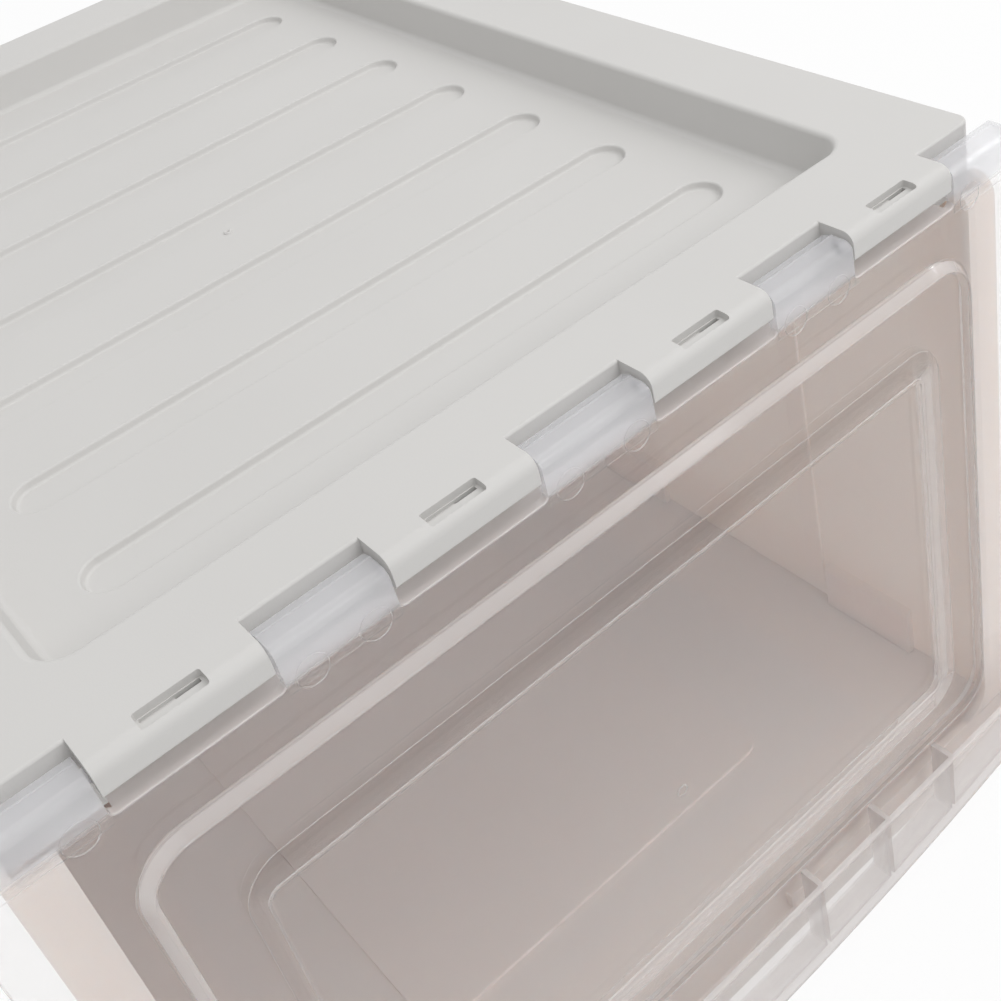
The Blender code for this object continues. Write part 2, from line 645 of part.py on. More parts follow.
def main():
    for old in list(bpy.data.objects):
        bpy.data.objects.remove(old)
    door = make_front_door()
    pieces = [
        make_base_panel(),
        make_side_panel("left_side_panel", -1),
        make_side_panel("right_side_panel", 1),
        make_back_panel(),
        make_top_panel(),
        door,
    ]
    for piece in pieces:
        give_plastic(piece)
    hang_on_hinge(door, make_hinge())


main()
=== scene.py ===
# %% [markdown]
# A stacking shoe box with a see-through flip-up door, dressed for a close look at its hinge line.
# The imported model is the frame: it fixes every size, place and joint, and nothing here moves it.
# Each moulding is modelled again over its plain solid, with the soft edges that a steel mould leaves.

# %% Load the frame
import json
import math

import bpy
from mathutils import Matrix, Vector


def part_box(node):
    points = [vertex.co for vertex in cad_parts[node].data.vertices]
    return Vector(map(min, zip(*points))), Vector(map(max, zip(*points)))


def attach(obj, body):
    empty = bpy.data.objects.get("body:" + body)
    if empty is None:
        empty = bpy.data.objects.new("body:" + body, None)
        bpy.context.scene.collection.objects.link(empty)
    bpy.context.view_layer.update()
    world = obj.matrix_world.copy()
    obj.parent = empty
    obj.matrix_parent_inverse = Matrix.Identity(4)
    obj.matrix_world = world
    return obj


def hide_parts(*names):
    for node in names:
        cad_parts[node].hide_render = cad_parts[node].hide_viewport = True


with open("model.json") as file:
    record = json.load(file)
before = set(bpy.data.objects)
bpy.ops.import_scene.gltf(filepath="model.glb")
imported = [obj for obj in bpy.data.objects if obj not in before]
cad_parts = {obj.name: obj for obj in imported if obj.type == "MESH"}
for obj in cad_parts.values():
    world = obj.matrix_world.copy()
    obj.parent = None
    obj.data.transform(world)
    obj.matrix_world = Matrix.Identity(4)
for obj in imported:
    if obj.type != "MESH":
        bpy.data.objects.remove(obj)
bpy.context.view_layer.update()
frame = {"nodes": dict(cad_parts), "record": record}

MM = 0.001
LID_LOW, LID_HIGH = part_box("top_panel")
DOOR_LOW, DOOR_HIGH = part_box("front_door")
HINGE = Vector(frame["record"]["behaviour"]["joints"][0]["pos_m"])

# %% [markdown]
# Blender's operators act on whatever is selected, so each step first says what that is.
# These helpers clear the selection, pick one piece alone, open it with its whole mesh selected,
# or select only the points that pass a test. By hand the same is done with clicks and a box select.


# %% Selecting
def to_object_mode():
    if bpy.context.object and bpy.context.object.mode != "OBJECT":
        bpy.ops.object.mode_set(mode="OBJECT")
    bpy.ops.object.select_all(action="DESELECT")


def pick(piece):
    """Make one piece the only selected and active object."""
    to_object_mode()
    piece.select_set(True)
    bpy.context.view_layer.objects.active = piece
    return piece


def edit_all():
    bpy.ops.object.mode_set(mode="EDIT")
    bpy.ops.mesh.select_all(action="SELECT")


def select_where(piece, test):
    """In edit mode, select only the points that pass a test."""
    bpy.ops.mesh.select_all(action="DESELECT")
    bpy.ops.object.mode_set(mode="OBJECT")
    for vertex in piece.data.vertices:
        vertex.select = test(vertex)
    bpy.ops.object.mode_set(mode="EDIT")


print("ready to select")

# %% [markdown]
# Every moulding here starts as a flat outline that is pulled into a solid.
# A plain outline is a rectangle whose corners are bevelled; any other is drawn point by point,
# as with the extrude key and one vertex. A curve object could hold the outline too,
# but a mesh can be inset and pulled at once, without being converted first.


# %% Outlines
def sheet(name, x0, x1, y0, y1, z, corner=0.0, steps=10):
    """A flat rectangle facing up, with its corners rounded, left selected in edit mode."""
    to_object_mode()
    bpy.ops.mesh.primitive_plane_add(size=1.0, location=((x0 + x1) / 2, (y0 + y1) / 2, z))
    piece = bpy.context.object
    piece.name = name
    piece.scale = (x1 - x0, y1 - y0, 1.0)
    bpy.ops.object.transform_apply(location=True, rotation=True, scale=True)
    edit_all()
    if corner:
        bpy.ops.mesh.bevel(affect="VERTICES", offset=corner, segments=steps, profile=0.5)
        bpy.ops.mesh.select_all(action="SELECT")
    return piece


def draw(name, points, depth, plane):
    """A filled outline drawn point by point, left selected in edit mode."""
    to_object_mode()
    spots = [{"XY": (u, v, depth), "XZ": (u, depth, v), "YZ": (depth, u, v)}[plane] for u, v in points]
    bpy.ops.mesh.primitive_plane_add(size=1.0)
    piece = bpy.context.object
    piece.name = name
    edit_all()
    bpy.ops.mesh.merge(type="CENTER")
    bpy.ops.transform.translate(value=Vector(spots[0]))
    for before, after in zip(spots, spots[1:]):
        step = Vector(after) - Vector(before)
        bpy.ops.mesh.extrude_vertices_move(TRANSFORM_OT_translate={"value": step})
    bpy.ops.mesh.select_all(action="SELECT")
    bpy.ops.mesh.edge_face_add()
    return piece


def arc(centre, radius, start, end, steps):
    """Points on a circle from one angle to another, in degrees, both ends included."""
    angles = [math.radians(start + (end - start) * k / steps) for k in range(steps + 1)]
    return [(centre[0] + radius * math.cos(a), centre[1] + radius * math.sin(a)) for a in angles]


print("ready to draw outlines")

# %% [markdown]
# A mould has no sharp inside corners: each wall meets the next in a small arc, so that the plastic flows.
# Here the end face is inset and moved through short strips that follow such an arc.
# A Bevel modifier at the end could round the edges too, but after a Boolean it often pinches in corners,
# so each solid and each cutter gets its round edges before it is used.

# %% Pulling and rounding
LEAST_INSET = 1e-7


def pull(x=0.0, y=0.0, z=0.0):
    """Pull the selected face out, leaving the new face selected."""
    bpy.ops.mesh.extrude_region_move(TRANSFORM_OT_translate={"value": (x, y, z)})


def bend(radius, start, end, steps=5):
    """Strips of an arc whose slope turns from one angle to another: (inwards, along) for each strip."""
    turn = math.radians(end - start) / steps
    strips = []
    for k in range(steps):
        slope = math.radians(start) + turn * (k + 0.5)
        strips.append((radius * abs(turn) * math.cos(slope), radius * abs(turn) * math.sin(slope)))
    return strips


def terrace(strips, up=1.0):
    """Inset the selected face through a list of strips, up or down."""
    for inwards, along in strips:
        bpy.ops.mesh.inset(thickness=max(inwards, LEAST_INSET))
        bpy.ops.transform.translate(value=(0.0, 0.0, up * along))


def wall_between(strips, depth, slope):
    """The straight strip that is left between an upper and a lower arc."""
    left = depth - sum(along for _, along in strips)
    return [(left / math.tan(math.radians(slope)), left)]


def sink(depth, mouth, slope, foot, steps=6):
    """Profile of a pressed-in hollow: rolled mouth, sloping wall, rounded foot."""
    upper, lower = bend(mouth, 0, slope, steps), bend(foot, slope, 0, steps)
    return upper + wall_between(upper + lower, depth, slope) + lower


def close_up():
    """Turn all faces outwards and leave edit mode."""
    bpy.ops.mesh.select_all(action="SELECT")
    bpy.ops.mesh.normals_make_consistent(inside=False)
    bpy.ops.object.mode_set(mode="OBJECT")
    return bpy.context.object


print("a 1 mm fillet is built from", len(bend(MM, 90, 0)), "strips")

# %% [markdown]
# Ribs, windows and bores are joined to a moulding or cut out of it with Boolean modifiers, as a toolmaker
# adds and removes steel. What repeats is modelled once and copied, each copy with its own mesh.
# Where two cuts meet, an exact Boolean can leave a slit too thin to see, so holes are filled at once:
# the next Boolean needs a closed piece to tell its inside from its outside.


# %% Copying, joining and cutting
def copy_of(piece, y=0.0, z=0.0):
    """A moved copy with its own mesh."""
    pick(piece)
    bpy.ops.object.duplicate(linked=False)
    twin = bpy.context.object
    edit_all()
    bpy.ops.transform.translate(value=(0.0, y, z))
    bpy.ops.object.mode_set(mode="OBJECT")
    return twin


def together(tools):
    """Join several tools that don't touch each other into one object."""
    to_object_mode()
    for tool in tools:
        tool.select_set(True)
    bpy.context.view_layer.objects.active = tools[0]
    if len(tools) > 1:
        bpy.ops.object.join()
    return tools[0]


def combine(piece, tools, operation):
    """Apply a Boolean between a piece and some tools, which are used up."""
    tool = together(tools)
    pick(piece)
    bpy.ops.object.modifier_add(type="BOOLEAN")
    step = piece.modifiers[-1]
    step.operation = operation
    step.solver = "EXACT"
    step.object = tool
    bpy.ops.object.modifier_apply(modifier=step.name)
    bpy.data.objects.remove(tool)
    edit_all()
    bpy.ops.mesh.fill_holes(sides=0)
    bpy.ops.object.mode_set(mode="OBJECT")


print("ready to join and cut")

# %% [markdown]
# Two shapes come back often: an upright block, and a bar whose section is pulled along the box's width.
# The bar's end rims can be eased, as on a knuckle, by bevelling the edges of its end faces.
# Smooth shading with weighted normals then lets the small arcs shine while the flat walls stay flat.

# %% Blocks, bars and shading
BLOCK_STEPS, EASE_STEPS = 4, 4
SHARP_EDGE = 32


def block(name, low, high, edge=0.0):
    """A rectangular bar between two corners, with its upright edges rounded."""
    sheet(name, low[0], high[0], low[1], high[1], low[2], edge, BLOCK_STEPS)
    pull(z=high[2] - low[2])
    return close_up()


def bar(name, points, x0, x1, ease=0.0):
    """A section drawn in the YZ plane, pulled along X, with its end rims eased."""
    piece = draw(name, points, x0, "YZ")
    pull(x=x1 - x0)
    if ease:
        bpy.ops.mesh.select_all(action="DESELECT")
        bpy.ops.object.mode_set(mode="OBJECT")
        for face in piece.data.polygons:
            face.select = abs(face.normal.x) > 0.99
        bpy.ops.object.mode_set(mode="EDIT")
        bpy.ops.mesh.bevel(affect="EDGES", offset=ease, segments=EASE_STEPS, profile=0.5, clamp_overlap=True)
    return close_up()


def soften(piece):
    """Smooth shading that keeps flat faces flat."""
    pick(piece)
    bpy.ops.object.shade_smooth_by_angle(angle=math.radians(SHARP_EDGE))
    bpy.ops.object.modifier_add(type="WEIGHTED_NORMAL")
    piece.modifiers[-1].keep_sharp = True
    bpy.ops.object.modifier_apply(modifier=piece.modifiers[-1].name)
    return piece


print("edges sharper than", SHARP_EDGE, "degrees stay sharp")

# %% [markdown]
# The lid is one moulding: a shallow tray turned upside down, with a tub sunk into its top.
# The tray is an outline with small corners, pulled to its height and rolled over at the top edge.
# Its inside is a second outline, smaller by the wall, that is cut out from below:
# the Solidify modifier could make the wall too, but would thin it in the rolled edge.

# %% Lid: the tray
WALL = 2.2 * MM
NOTCH_DEPTH = 9.9 * MM
LID_CORNER = 3.5 * MM
LID_EDGE = 0.7 * MM
OVERSHOOT = 4.0 * MM

TOP = LID_HIGH.z
HALF_LID = LID_HIGH.x
NOTCH_BACK = LID_LOW.y + NOTCH_DEPTH


def lid_tray():
    tray = sheet("lid", -HALF_LID, HALF_LID, NOTCH_BACK, LID_HIGH.y, LID_LOW.z, LID_CORNER, 10)
    pull(z=TOP - LID_LOW.z - LID_EDGE)
    terrace(bend(LID_EDGE, 90, 0))
    close_up()
    inside = sheet("inside", -HALF_LID + WALL, HALF_LID - WALL, NOTCH_BACK + WALL, LID_HIGH.y - WALL,
                   LID_LOW.z - OVERSHOOT, LID_CORNER - WALL / 2, 6)
    pull(z=TOP - WALL - LID_LOW.z + OVERSHOOT)
    close_up()
    combine(tray, [inside], "DIFFERENCE")
    return tray


lid = lid_tray()
print("lid tray", len(lid.data.polygons), "faces")

# %% [markdown]
# The tub takes the foot of the next box. Its walls lean, so that the moulding comes out of the steel.
# A thick shell is joined under the lid first, and then the tub is cut into it.
# A cutter that flares at its mouth and rounds at its floor leaves both fillets in one cut.

# %% Lid: the tub
RIM_SIDE, RIM_FRONT, RIM_BACK = 23.9 * MM, 27.9 * MM, 26.3 * MM
TUB_DEPTH, TUB_CORNER = 12.5 * MM, 8.0 * MM
TUB_SLOPE = 78
TUB_MOUTH, TUB_FOOT = 1.6 * MM, 2.2 * MM

TUB_HALF = HALF_LID - RIM_SIDE
TUB_FRONT, TUB_BACK = LID_LOW.y + RIM_FRONT, LID_HIGH.y - RIM_BACK
TUB_FLOOR = TOP - TUB_DEPTH


def tub_shell():
    sheet("tub_shell", -TUB_HALF - WALL, TUB_HALF + WALL, TUB_FRONT - WALL, TUB_BACK + WALL,
          TUB_FLOOR - WALL, TUB_CORNER + WALL, 8)
    pull(z=TUB_DEPTH + WALL / 2)
    return close_up()


def tub_cutter():
    reach = sum(inwards for inwards, _ in bend(TUB_MOUTH, 0, TUB_SLOPE)) / 2
    sheet("tub", -TUB_HALF - reach, TUB_HALF + reach, TUB_FRONT - reach, TUB_BACK + reach,
          TOP + OVERSHOOT, TUB_CORNER + reach, 16)
    pull(z=-OVERSHOOT)
    terrace(sink(TUB_DEPTH, TUB_MOUTH, TUB_SLOPE, TUB_FOOT), up=-1.0)
    return close_up()


print("tub", round(2 * TUB_HALF / MM, 1), "x", round((TUB_BACK - TUB_FRONT) / MM, 1), "mm")

# %% [markdown]
# Seven long grooves with round ends stiffen the tub's floor. In thin plastic a groove on top is a bulge
# below, so each has a back that is joined under the floor before the groove itself is cut.
# The slot's outline is a disc whose two halves are moved apart, which keeps its ends truly round.

# %% Lid: the grooves
GROOVES, GROOVE_PITCH = 7, 37.4 * MM
GROOVE_HALF_LENGTH, GROOVE_HALF_WIDTH, GROOVE_DEPTH = 91.0 * MM, 6.3 * MM, 2.0 * MM
GROOVE_EDGE, GROOVE_FOOT, GROOVE_SLOPE = 0.7 * MM, 0.9 * MM, 72
DISC_SIDES = 44


def obround(name, half_length, half_width, y, z):
    """A slot outline with round ends, left selected in edit mode."""
    to_object_mode()
    bpy.ops.mesh.primitive_circle_add(vertices=DISC_SIDES, radius=half_width, fill_type="NGON",
                                      location=(0, y, z), rotation=(0, 0, math.pi / DISC_SIDES))
    piece = bpy.context.object
    piece.name = name
    bpy.ops.object.transform_apply(location=True, rotation=True, scale=True)
    edit_all()
    for side in (-1, 1):
        select_where(piece, lambda vertex: side * vertex.co.x > 0)
        bpy.ops.transform.translate(value=(side * (half_length - half_width), 0, 0))
    bpy.ops.mesh.select_all(action="SELECT")
    return piece


def groove_places():
    first = (TUB_FRONT + TUB_BACK) / 2 - GROOVE_PITCH * (GROOVES - 1) / 2
    return [first + GROOVE_PITCH * k for k in range(GROOVES)]


def groove_backs():
    """The bulges that the grooves make under the tub's floor."""
    first, *others = groove_places()
    back = obround("groove_back", GROOVE_HALF_LENGTH + WALL, GROOVE_HALF_WIDTH + WALL, first,
                   TUB_FLOOR - GROOVE_DEPTH - WALL)
    pull(z=GROOVE_DEPTH + WALL / 2)
    close_up()
    return [back] + [copy_of(back, y=y - first) for y in others]


def groove_cutters():
    first, *others = groove_places()
    cutter = obround("groove", GROOVE_HALF_LENGTH + GROOVE_EDGE, GROOVE_HALF_WIDTH + GROOVE_EDGE, first,
                     TUB_FLOOR + OVERSHOOT)
    pull(z=-OVERSHOOT)
    terrace(sink(GROOVE_DEPTH, GROOVE_EDGE, GROOVE_SLOPE, GROOVE_FOOT), up=-1.0)
    close_up()
    return [cutter] + [copy_of(cutter, y=y - first) for y in others]


print("grooves at", [round(y / MM, 1) for y in groove_places()], "mm")

# %% [markdown]
# Along the front of the lid run four hinge knuckles, level with its top, each with a rounded front corner,
# a straight nose and a small foot. A bore at each end takes one of the door's stub pins.
# One section is drawn and pulled to each length, so that all four keep the same nose.

# %% Lid: the knuckles
NOSE_RADIUS, NOSE_FOOT, NOSE_END = 3.1 * MM, 1.1 * MM, 7.4 * MM
KNUCKLE_SPANS = ((15.3 * MM, 50.8 * MM), (77.3 * MM, 111.6 * MM))
KNUCKLE_EASE = 0.45 * MM
PIN_RADIUS, PIN_CLEARANCE, BORE_DEPTH = 1.6 * MM, 0.3 * MM, 4.2 * MM
ROD_SIDES = 24


def both_sides(spans):
    return [span for start, end in spans for span in ((start, end), (-end, -start))]


def knuckle_section():
    nose = arc((LID_LOW.y + NOSE_RADIUS, TOP - NOSE_RADIUS), NOSE_RADIUS, 90, 180, 20)
    foot = arc((LID_LOW.y + NOSE_FOOT, TOP - NOSE_END + NOSE_FOOT), NOSE_FOOT, 180, 270, 8)
    root = NOTCH_BACK + WALL / 2
    return nose + foot + [(root, TOP - NOSE_END), (root, TOP)]


def rod(name, x0, x1, radius):
    """A round rod on the hinge line: a pin, or what a bore takes out."""
    step = 360 // ROD_SIDES
    return bar(name, arc((HINGE.y, HINGE.z), radius, 0, 360 - step, ROD_SIDES - 1), x0, x1)


print(len(both_sides(KNUCKLE_SPANS)), "knuckles,", round(2 * KNUCKLE_SPANS[-1][1] / MM, 1), "mm end to end")

# %% [markdown]
# In the top of each knuckle is a shallow window, where a slide of the mould came through to shape the bore.
# Its floor has a channel along the back, which goes right through over a part of its length.
# A dark decal could stand in for that slit, but only a real cut takes the light as the photograph shows.

# %% Lid: the windows and their slits
WINDOW_LENGTH, WINDOW_WIDTH, WINDOW_BACK, WINDOW_DEPTH = 13.5 * MM, 4.2 * MM, 4.4 * MM, 1.7 * MM
WINDOW_CORNER = 0.6 * MM
CHANNEL_WIDTH, CHANNEL_DEPTH, CHANNEL_SHORT = 1.4 * MM, 0.7 * MM, 0.7 * MM
SLIT_SHARE = 0.42
SEAM = 0.3 * MM


def slit(x0, x1, back, floor):
    """A channel along the back of a window's floor, cut right through over a part of its length."""
    front = back - CHANNEL_WIDTH
    through = x1 - SLIT_SHARE * (x1 - x0)
    channel = block("channel", (x0, front, floor - CHANNEL_DEPTH),
                    (through + SEAM, back - SEAM, floor + SEAM))
    hole = block("slit", (through, front, LID_LOW.z), (x1, back - SEAM, floor + SEAM))
    combine(channel, [hole], "UNION")
    return channel


def knuckle_tools():
    """Bodies, windows with their bores, and the slits in the window floors."""
    bodies, hollows, slits = [], [], []
    back, floor = NOTCH_BACK - WINDOW_BACK, TOP - WINDOW_DEPTH
    for start, end in both_sides(KNUCKLE_SPANS):
        bodies.append(bar("knuckle", knuckle_section(), start, end, KNUCKLE_EASE))
        x0, x1 = (start + end - WINDOW_LENGTH) / 2, (start + end + WINDOW_LENGTH) / 2
        hollows.append(block("window", (x0, back - WINDOW_WIDTH, floor), (x1, back, TOP + OVERSHOOT),
                             WINDOW_CORNER))
        hollows.append(rod("bore", start - OVERSHOOT, start + BORE_DEPTH, PIN_RADIUS + PIN_CLEARANCE))
        hollows.append(rod("bore", end - BORE_DEPTH, end + OVERSHOOT, PIN_RADIUS + PIN_CLEARANCE))
        slits.append(slit(x0 + CHANNEL_SHORT, x1 - CHANNEL_SHORT, back, floor))
    return bodies, hollows, slits


knuckles, windows, slits = knuckle_tools()
print(len(knuckles), "knuckle bodies,", len(windows), "windows and bores,", len(slits), "slits")

# %% [markdown]
# Under the rim, ribs hold the lugs of the body panels against the lid's skirt.
# All that is solid is joined first, and then all that is hollow is cut, large cuts before fine ones:
# in the other order a later union would fill the tub again.

# %% Lid: the keepers, and the whole lid
KEEPER_THICKNESS, KEEPER_HEIGHT, KEEPER_PLACE = 1.8 * MM, 8.5 * MM, 126.7 * MM
KEEPER_BACK = LID_HIGH.y - 5.8 * MM


def keepers():
    low, high = TOP - WALL - KEEPER_HEIGHT, TOP - WALL / 2
    ribs = []
    for side in (-1, 1):
        x0, x1 = sorted((side * KEEPER_PLACE, side * (KEEPER_PLACE - KEEPER_THICKNESS)))
        ribs.append(block("keeper", (x0, TUB_FRONT, low), (x1, TUB_BACK, high)))
    ribs.append(block("keeper", (-TUB_HALF, KEEPER_BACK - KEEPER_THICKNESS, low),
                      (TUB_HALF, KEEPER_BACK, high)))
    return ribs


combine(lid, [tub_shell()] + keepers() + knuckles, "UNION")
combine(lid, groove_backs(), "UNION")
combine(lid, [tub_cutter()] + windows, "DIFFERENCE")
combine(lid, groove_cutters() + slits, "DIFFERENCE")
print("lid with tub, grooves and knuckles", len(lid.data.polygons), "faces")

# %% [markdown]
# The door is a thin clear moulding. Its plate dips at the foot, and at the top a leg runs up into each tab
# and ear, with a fillet at its root, where a sharp corner would crack.
# It is modelled lying on its back, front face up, and stood up at the end: local Y is its height.
# That way its front edge and its frame can be rolled with the same insets as the lid.

# %% Door: the plate
DOOR_WALL = 2.0 * MM
DOOR_TOP_DROP = 11.6 * MM
DOOR_CORNER = 12.0 * MM
DOOR_SAG = 14.0 * MM
TAB_CLEARANCE = 0.6 * MM
ROOT_FILLET, LEG_INSET = 1.6 * MM, 0.05 * MM
PLATE_EDGE = 0.5 * MM
FOOT_STEPS = 24

FRONT = LID_LOW.y
HALF_DOOR = DOOR_HIGH.x
DOOR_TOP = TOP - DOOR_TOP_DROP
(INNER_0, INNER_1), (OUTER_0, OUTER_1) = KNUCKLE_SPANS
TABS = [(-INNER_0 + TAB_CLEARANCE, INNER_0 - TAB_CLEARANCE)]
TABS += both_sides(((INNER_1 + TAB_CLEARANCE, OUTER_0 - TAB_CLEARANCE),))
EARS = both_sides(((OUTER_1 + TAB_CLEARANCE, HALF_DOOR),))


def door_bottom(x):
    """Height of the door's lower edge, which dips towards the middle."""
    return DOOR_LOW.z + DOOR_SAG * (x / HALF_DOOR) ** 2


def lower_edge(inset, corner):
    """The door's foot from its left shoulder to its right one, drawn in by an inset."""
    shoulder = HALF_DOOR - inset - corner
    side = door_bottom(shoulder) + inset + corner
    along = [shoulder * k / FOOT_STEPS for k in range(1 - FOOT_STEPS, FOOT_STEPS)]
    foot = [(x, door_bottom(x) + inset) for x in along]
    return arc((-shoulder, side), corner, 180, 270, 10) + foot + arc((shoulder, side), corner, 270, 360, 10)


def upper_edge():
    """The plate's top from right to left, with a leg up into each tab and a fillet at each root."""
    line = []
    for start, end in sorted(TABS + EARS, reverse=True):
        if end < HALF_DOOR:
            end -= LEG_INSET
            line += arc((end + ROOT_FILLET, DOOR_TOP + ROOT_FILLET), ROOT_FILLET, 270, 180, 6)
        start += LEG_INSET if start > -HALF_DOOR else 0.0
        line += [(end, HINGE.z), (start, HINGE.z)]
        if start > -HALF_DOOR:
            line += arc((start - ROOT_FILLET, DOOR_TOP + ROOT_FILLET), ROOT_FILLET, 0, -90, 6)
    return line


def door_plate():
    draw("door", lower_edge(0.0, DOOR_CORNER) + upper_edge(), -DOOR_WALL, "XY")
    pull(z=DOOR_WALL - PLATE_EDGE)
    terrace(bend(PLATE_EDGE, 90, 0, 4))
    return close_up()


door = door_plate()
print("door plate", len(door.data.polygons), "faces,", len(TABS), "tabs and", len(EARS), "ears")

# %% [markdown]
# A picture-frame band stands out from the plate and stiffens it. Its outer slope is a rounded rectangle,
# run through the same profile of insets as the tub, but upwards.
# The sunken panel inside it slopes gently at the top and steeply elsewhere, so a plain inset won't do:
# the end face is pulled a little, and each of its corner arcs is scaled and slid onto the next outline.

# %% Door: the outlines of band and panel
BAND_HALF_WIDTH, BAND_BOTTOM, BAND_TOP, BAND_CORNER = 116.4 * MM, 45.0 * MM, 208.7 * MM, 13.0 * MM
BAND_RISE, BAND_SLOPE, BAND_EDGE, BAND_BACK_SHIFT = 2.5 * MM, 52, 0.6 * MM, 1.0 * MM
BAND_PROFILE = sink(BAND_RISE, BAND_EDGE, BAND_SLOPE, BAND_EDGE, 4)
# An outline of the panel: its half width, foot, top and corner radius.
MOUTH = (100.7 * MM, 60.3 * MM, 190.3 * MM, 10.0 * MM)
PANEL = (96.5 * MM, 63.7 * MM, 180.0 * MM, 3.0 * MM)
PANEL_SINK = 1.93 * MM
PANEL_TOP = PANEL[2]


def band(name, shift, base):
    """The raised picture frame as a solid: foot sunk in the plate, rolled foot, slope and rolled brow."""
    sheet(name, -BAND_HALF_WIDTH + shift, BAND_HALF_WIDTH - shift, BAND_BOTTOM + shift, BAND_TOP - shift,
          base - DOOR_WALL / 2, BAND_CORNER - shift, 12)
    pull(z=DOOR_WALL / 2)
    terrace(BAND_PROFILE)
    return close_up()


def ring_at(share):
    """The outline at a share of the way from the panel's mouth to its floor."""
    return tuple(a + (b - a) * share for a, b in zip(MOUTH, PANEL))


def corner_centres(ring):
    """Where the four corner arcs of a rounded rectangle turn, with the quarter that each lies in."""
    half, bottom, top, corner = ring
    return [((side * (half - corner), top - corner if up > 0 else bottom + corner), (side, up))
            for side in (-1, 1) for up in (-1, 1)]


print("band", round(2 * BAND_HALF_WIDTH / MM, 1), "mm wide, panel", round(2 * PANEL[0] / MM, 1), "mm")

# %% [markdown]
# The panel's slope has a small round at its brow and at its foot, so it is cut in short pulls along a curve.
# The same cutter, moved back by the plate's thickness, shapes the rear of the door.
# It is moved a hair further than that, so that no two faces of the Boolean lie in one plane.

# %% Door: the sunken panel
BEND_SHARE, BEND_STEPS = 0.12, 4


def slope_marks():
    """Shares (across, down) along the slope from the band to the panel, with both of its bends rounded."""
    ts = [k / BEND_STEPS for k in range(BEND_STEPS + 1)]
    brow = [(BEND_SHARE * (t * t - (1 - t) ** 2), BEND_SHARE * t * t) for t in ts]
    foot = [(1 + BEND_SHARE * (t * t - (1 - t) ** 2), 1 - BEND_SHARE * (1 - t) ** 2) for t in ts]
    return brow + foot


def pull_ring(piece, now, then, depth):
    """Pull the end face by a depth, then scale and slide each of its corner arcs onto the next outline."""
    pull(z=depth)
    bpy.ops.object.mode_set(mode="OBJECT")
    end = {v.index: v.co.copy() for v in piece.data.vertices if v.select}
    bpy.ops.object.mode_set(mode="EDIT")
    level = next(iter(end.values())).z
    middle = (now[1] + now[2]) / 2
    ratio = then[3] / now[3]
    for ((x, y), (side, up)), ((far_x, far_y), _) in zip(corner_centres(now), corner_centres(then)):
        quarter = {index for index, spot in end.items() if side * spot.x > 0 and up * (spot.y - middle) > 0}
        select_where(piece, lambda vertex: vertex.index in quarter)
        bpy.ops.transform.resize(value=(ratio, ratio, 1.0), center_override=(x, y, level))
        bpy.ops.transform.translate(value=(far_x - x, far_y - y, 0.0))
    select_where(piece, lambda vertex: vertex.index in end)
    bpy.ops.mesh.select_mode(type="FACE")
    bpy.ops.mesh.select_mode(type="VERT")


def panel_cutter():
    """What the sunken panel takes out: short slopes at the sides and foot, a long one at the top."""
    marks = slope_marks()
    now, level = ring_at(marks[0][0]), 0.0
    half, bottom, top, corner = now
    piece = sheet("panel", -half, half, bottom, top, BAND_RISE + OVERSHOOT, corner, 12)
    pull(z=-OVERSHOOT)
    for across, down in marks[1:]:
        then = ring_at(across)
        pull_ring(piece, now, then, -PANEL_SINK * (down - level))
        now, level = then, down
    return close_up()


panel = panel_cutter()
panel_back = copy_of(panel, z=-DOOR_WALL - SEAM / 4)
band_back = band("band_back", BAND_BACK_SHIFT, -DOOR_WALL)
combine(band_back, [panel_back], "DIFFERENCE")
combine(door, [band("band", 0.0, 0.0)], "UNION")
combine(door, [panel], "DIFFERENCE")
combine(door, [band_back], "DIFFERENCE")
print("door plate with band and panel", len(door.data.polygons), "faces")

# %% [markdown]
# Along the foot runs a trough to pull the door up by: a thin wall that follows the dipping edge,
# braced by fins. The wall is a tray with its inside and its top cut open, rounded inside and out.
# Behind the plate's top edge a ledge turns back under the knuckles and keeps the plate straight.

# %% Door: the trough, its fins and the ledge
LIP_TOP, LIP_WALL, LIP_EDGE, LIP_INSET = 41.6 * MM, 1.8 * MM, 1.1 * MM, 0.6 * MM
LIP_REACH = FRONT - DOOR_LOW.y
FIN_THICKNESS = 1.6 * MM
FIN_PLACES = (34.0 * MM, 63.0 * MM, 92.0 * MM)
OVERLAP = 0.8 * MM
LEDGE_HALF_WIDTH, LEDGE_BACK, LEDGE_THICKNESS = 111.0 * MM, 6.5 * MM, 1.5 * MM


def foot_outline(inset, top):
    half = HALF_DOOR - inset
    return lower_edge(inset, DOOR_CORNER - inset) + [(half, top), (-half, top)]


def trough():
    """The pull along the foot, lying on its back: a rounded tray with its inside and its top cut open."""
    lip = draw("lip", foot_outline(LIP_INSET, LIP_TOP), -OVERLAP, "XY")
    pull(z=OVERLAP + LIP_REACH - LIP_EDGE)
    terrace(bend(LIP_EDGE, 90, 0))
    close_up()
    draw("hollow", foot_outline(LIP_INSET + LIP_WALL, LIP_TOP + OVERSHOOT), -OVERSHOOT, "XY")
    pull(z=OVERSHOOT + LIP_REACH - LIP_WALL - LIP_EDGE)
    terrace(bend(LIP_EDGE, 90, 0))
    combine(lip, [close_up()], "DIFFERENCE")
    return lip


def fins():
    """Thin webs across the trough, level with its rim."""
    plates = []
    for x0, x1 in both_sides([(x - FIN_THICKNESS / 2, x + FIN_THICKNESS / 2) for x in FIN_PLACES]):
        low = (x0, door_bottom(x0) + LIP_WALL / 2, -OVERLAP)
        plates.append(block("fin", low, (x1, LIP_TOP - SEAM, LIP_REACH - LIP_WALL + OVERLAP)))
    return plates


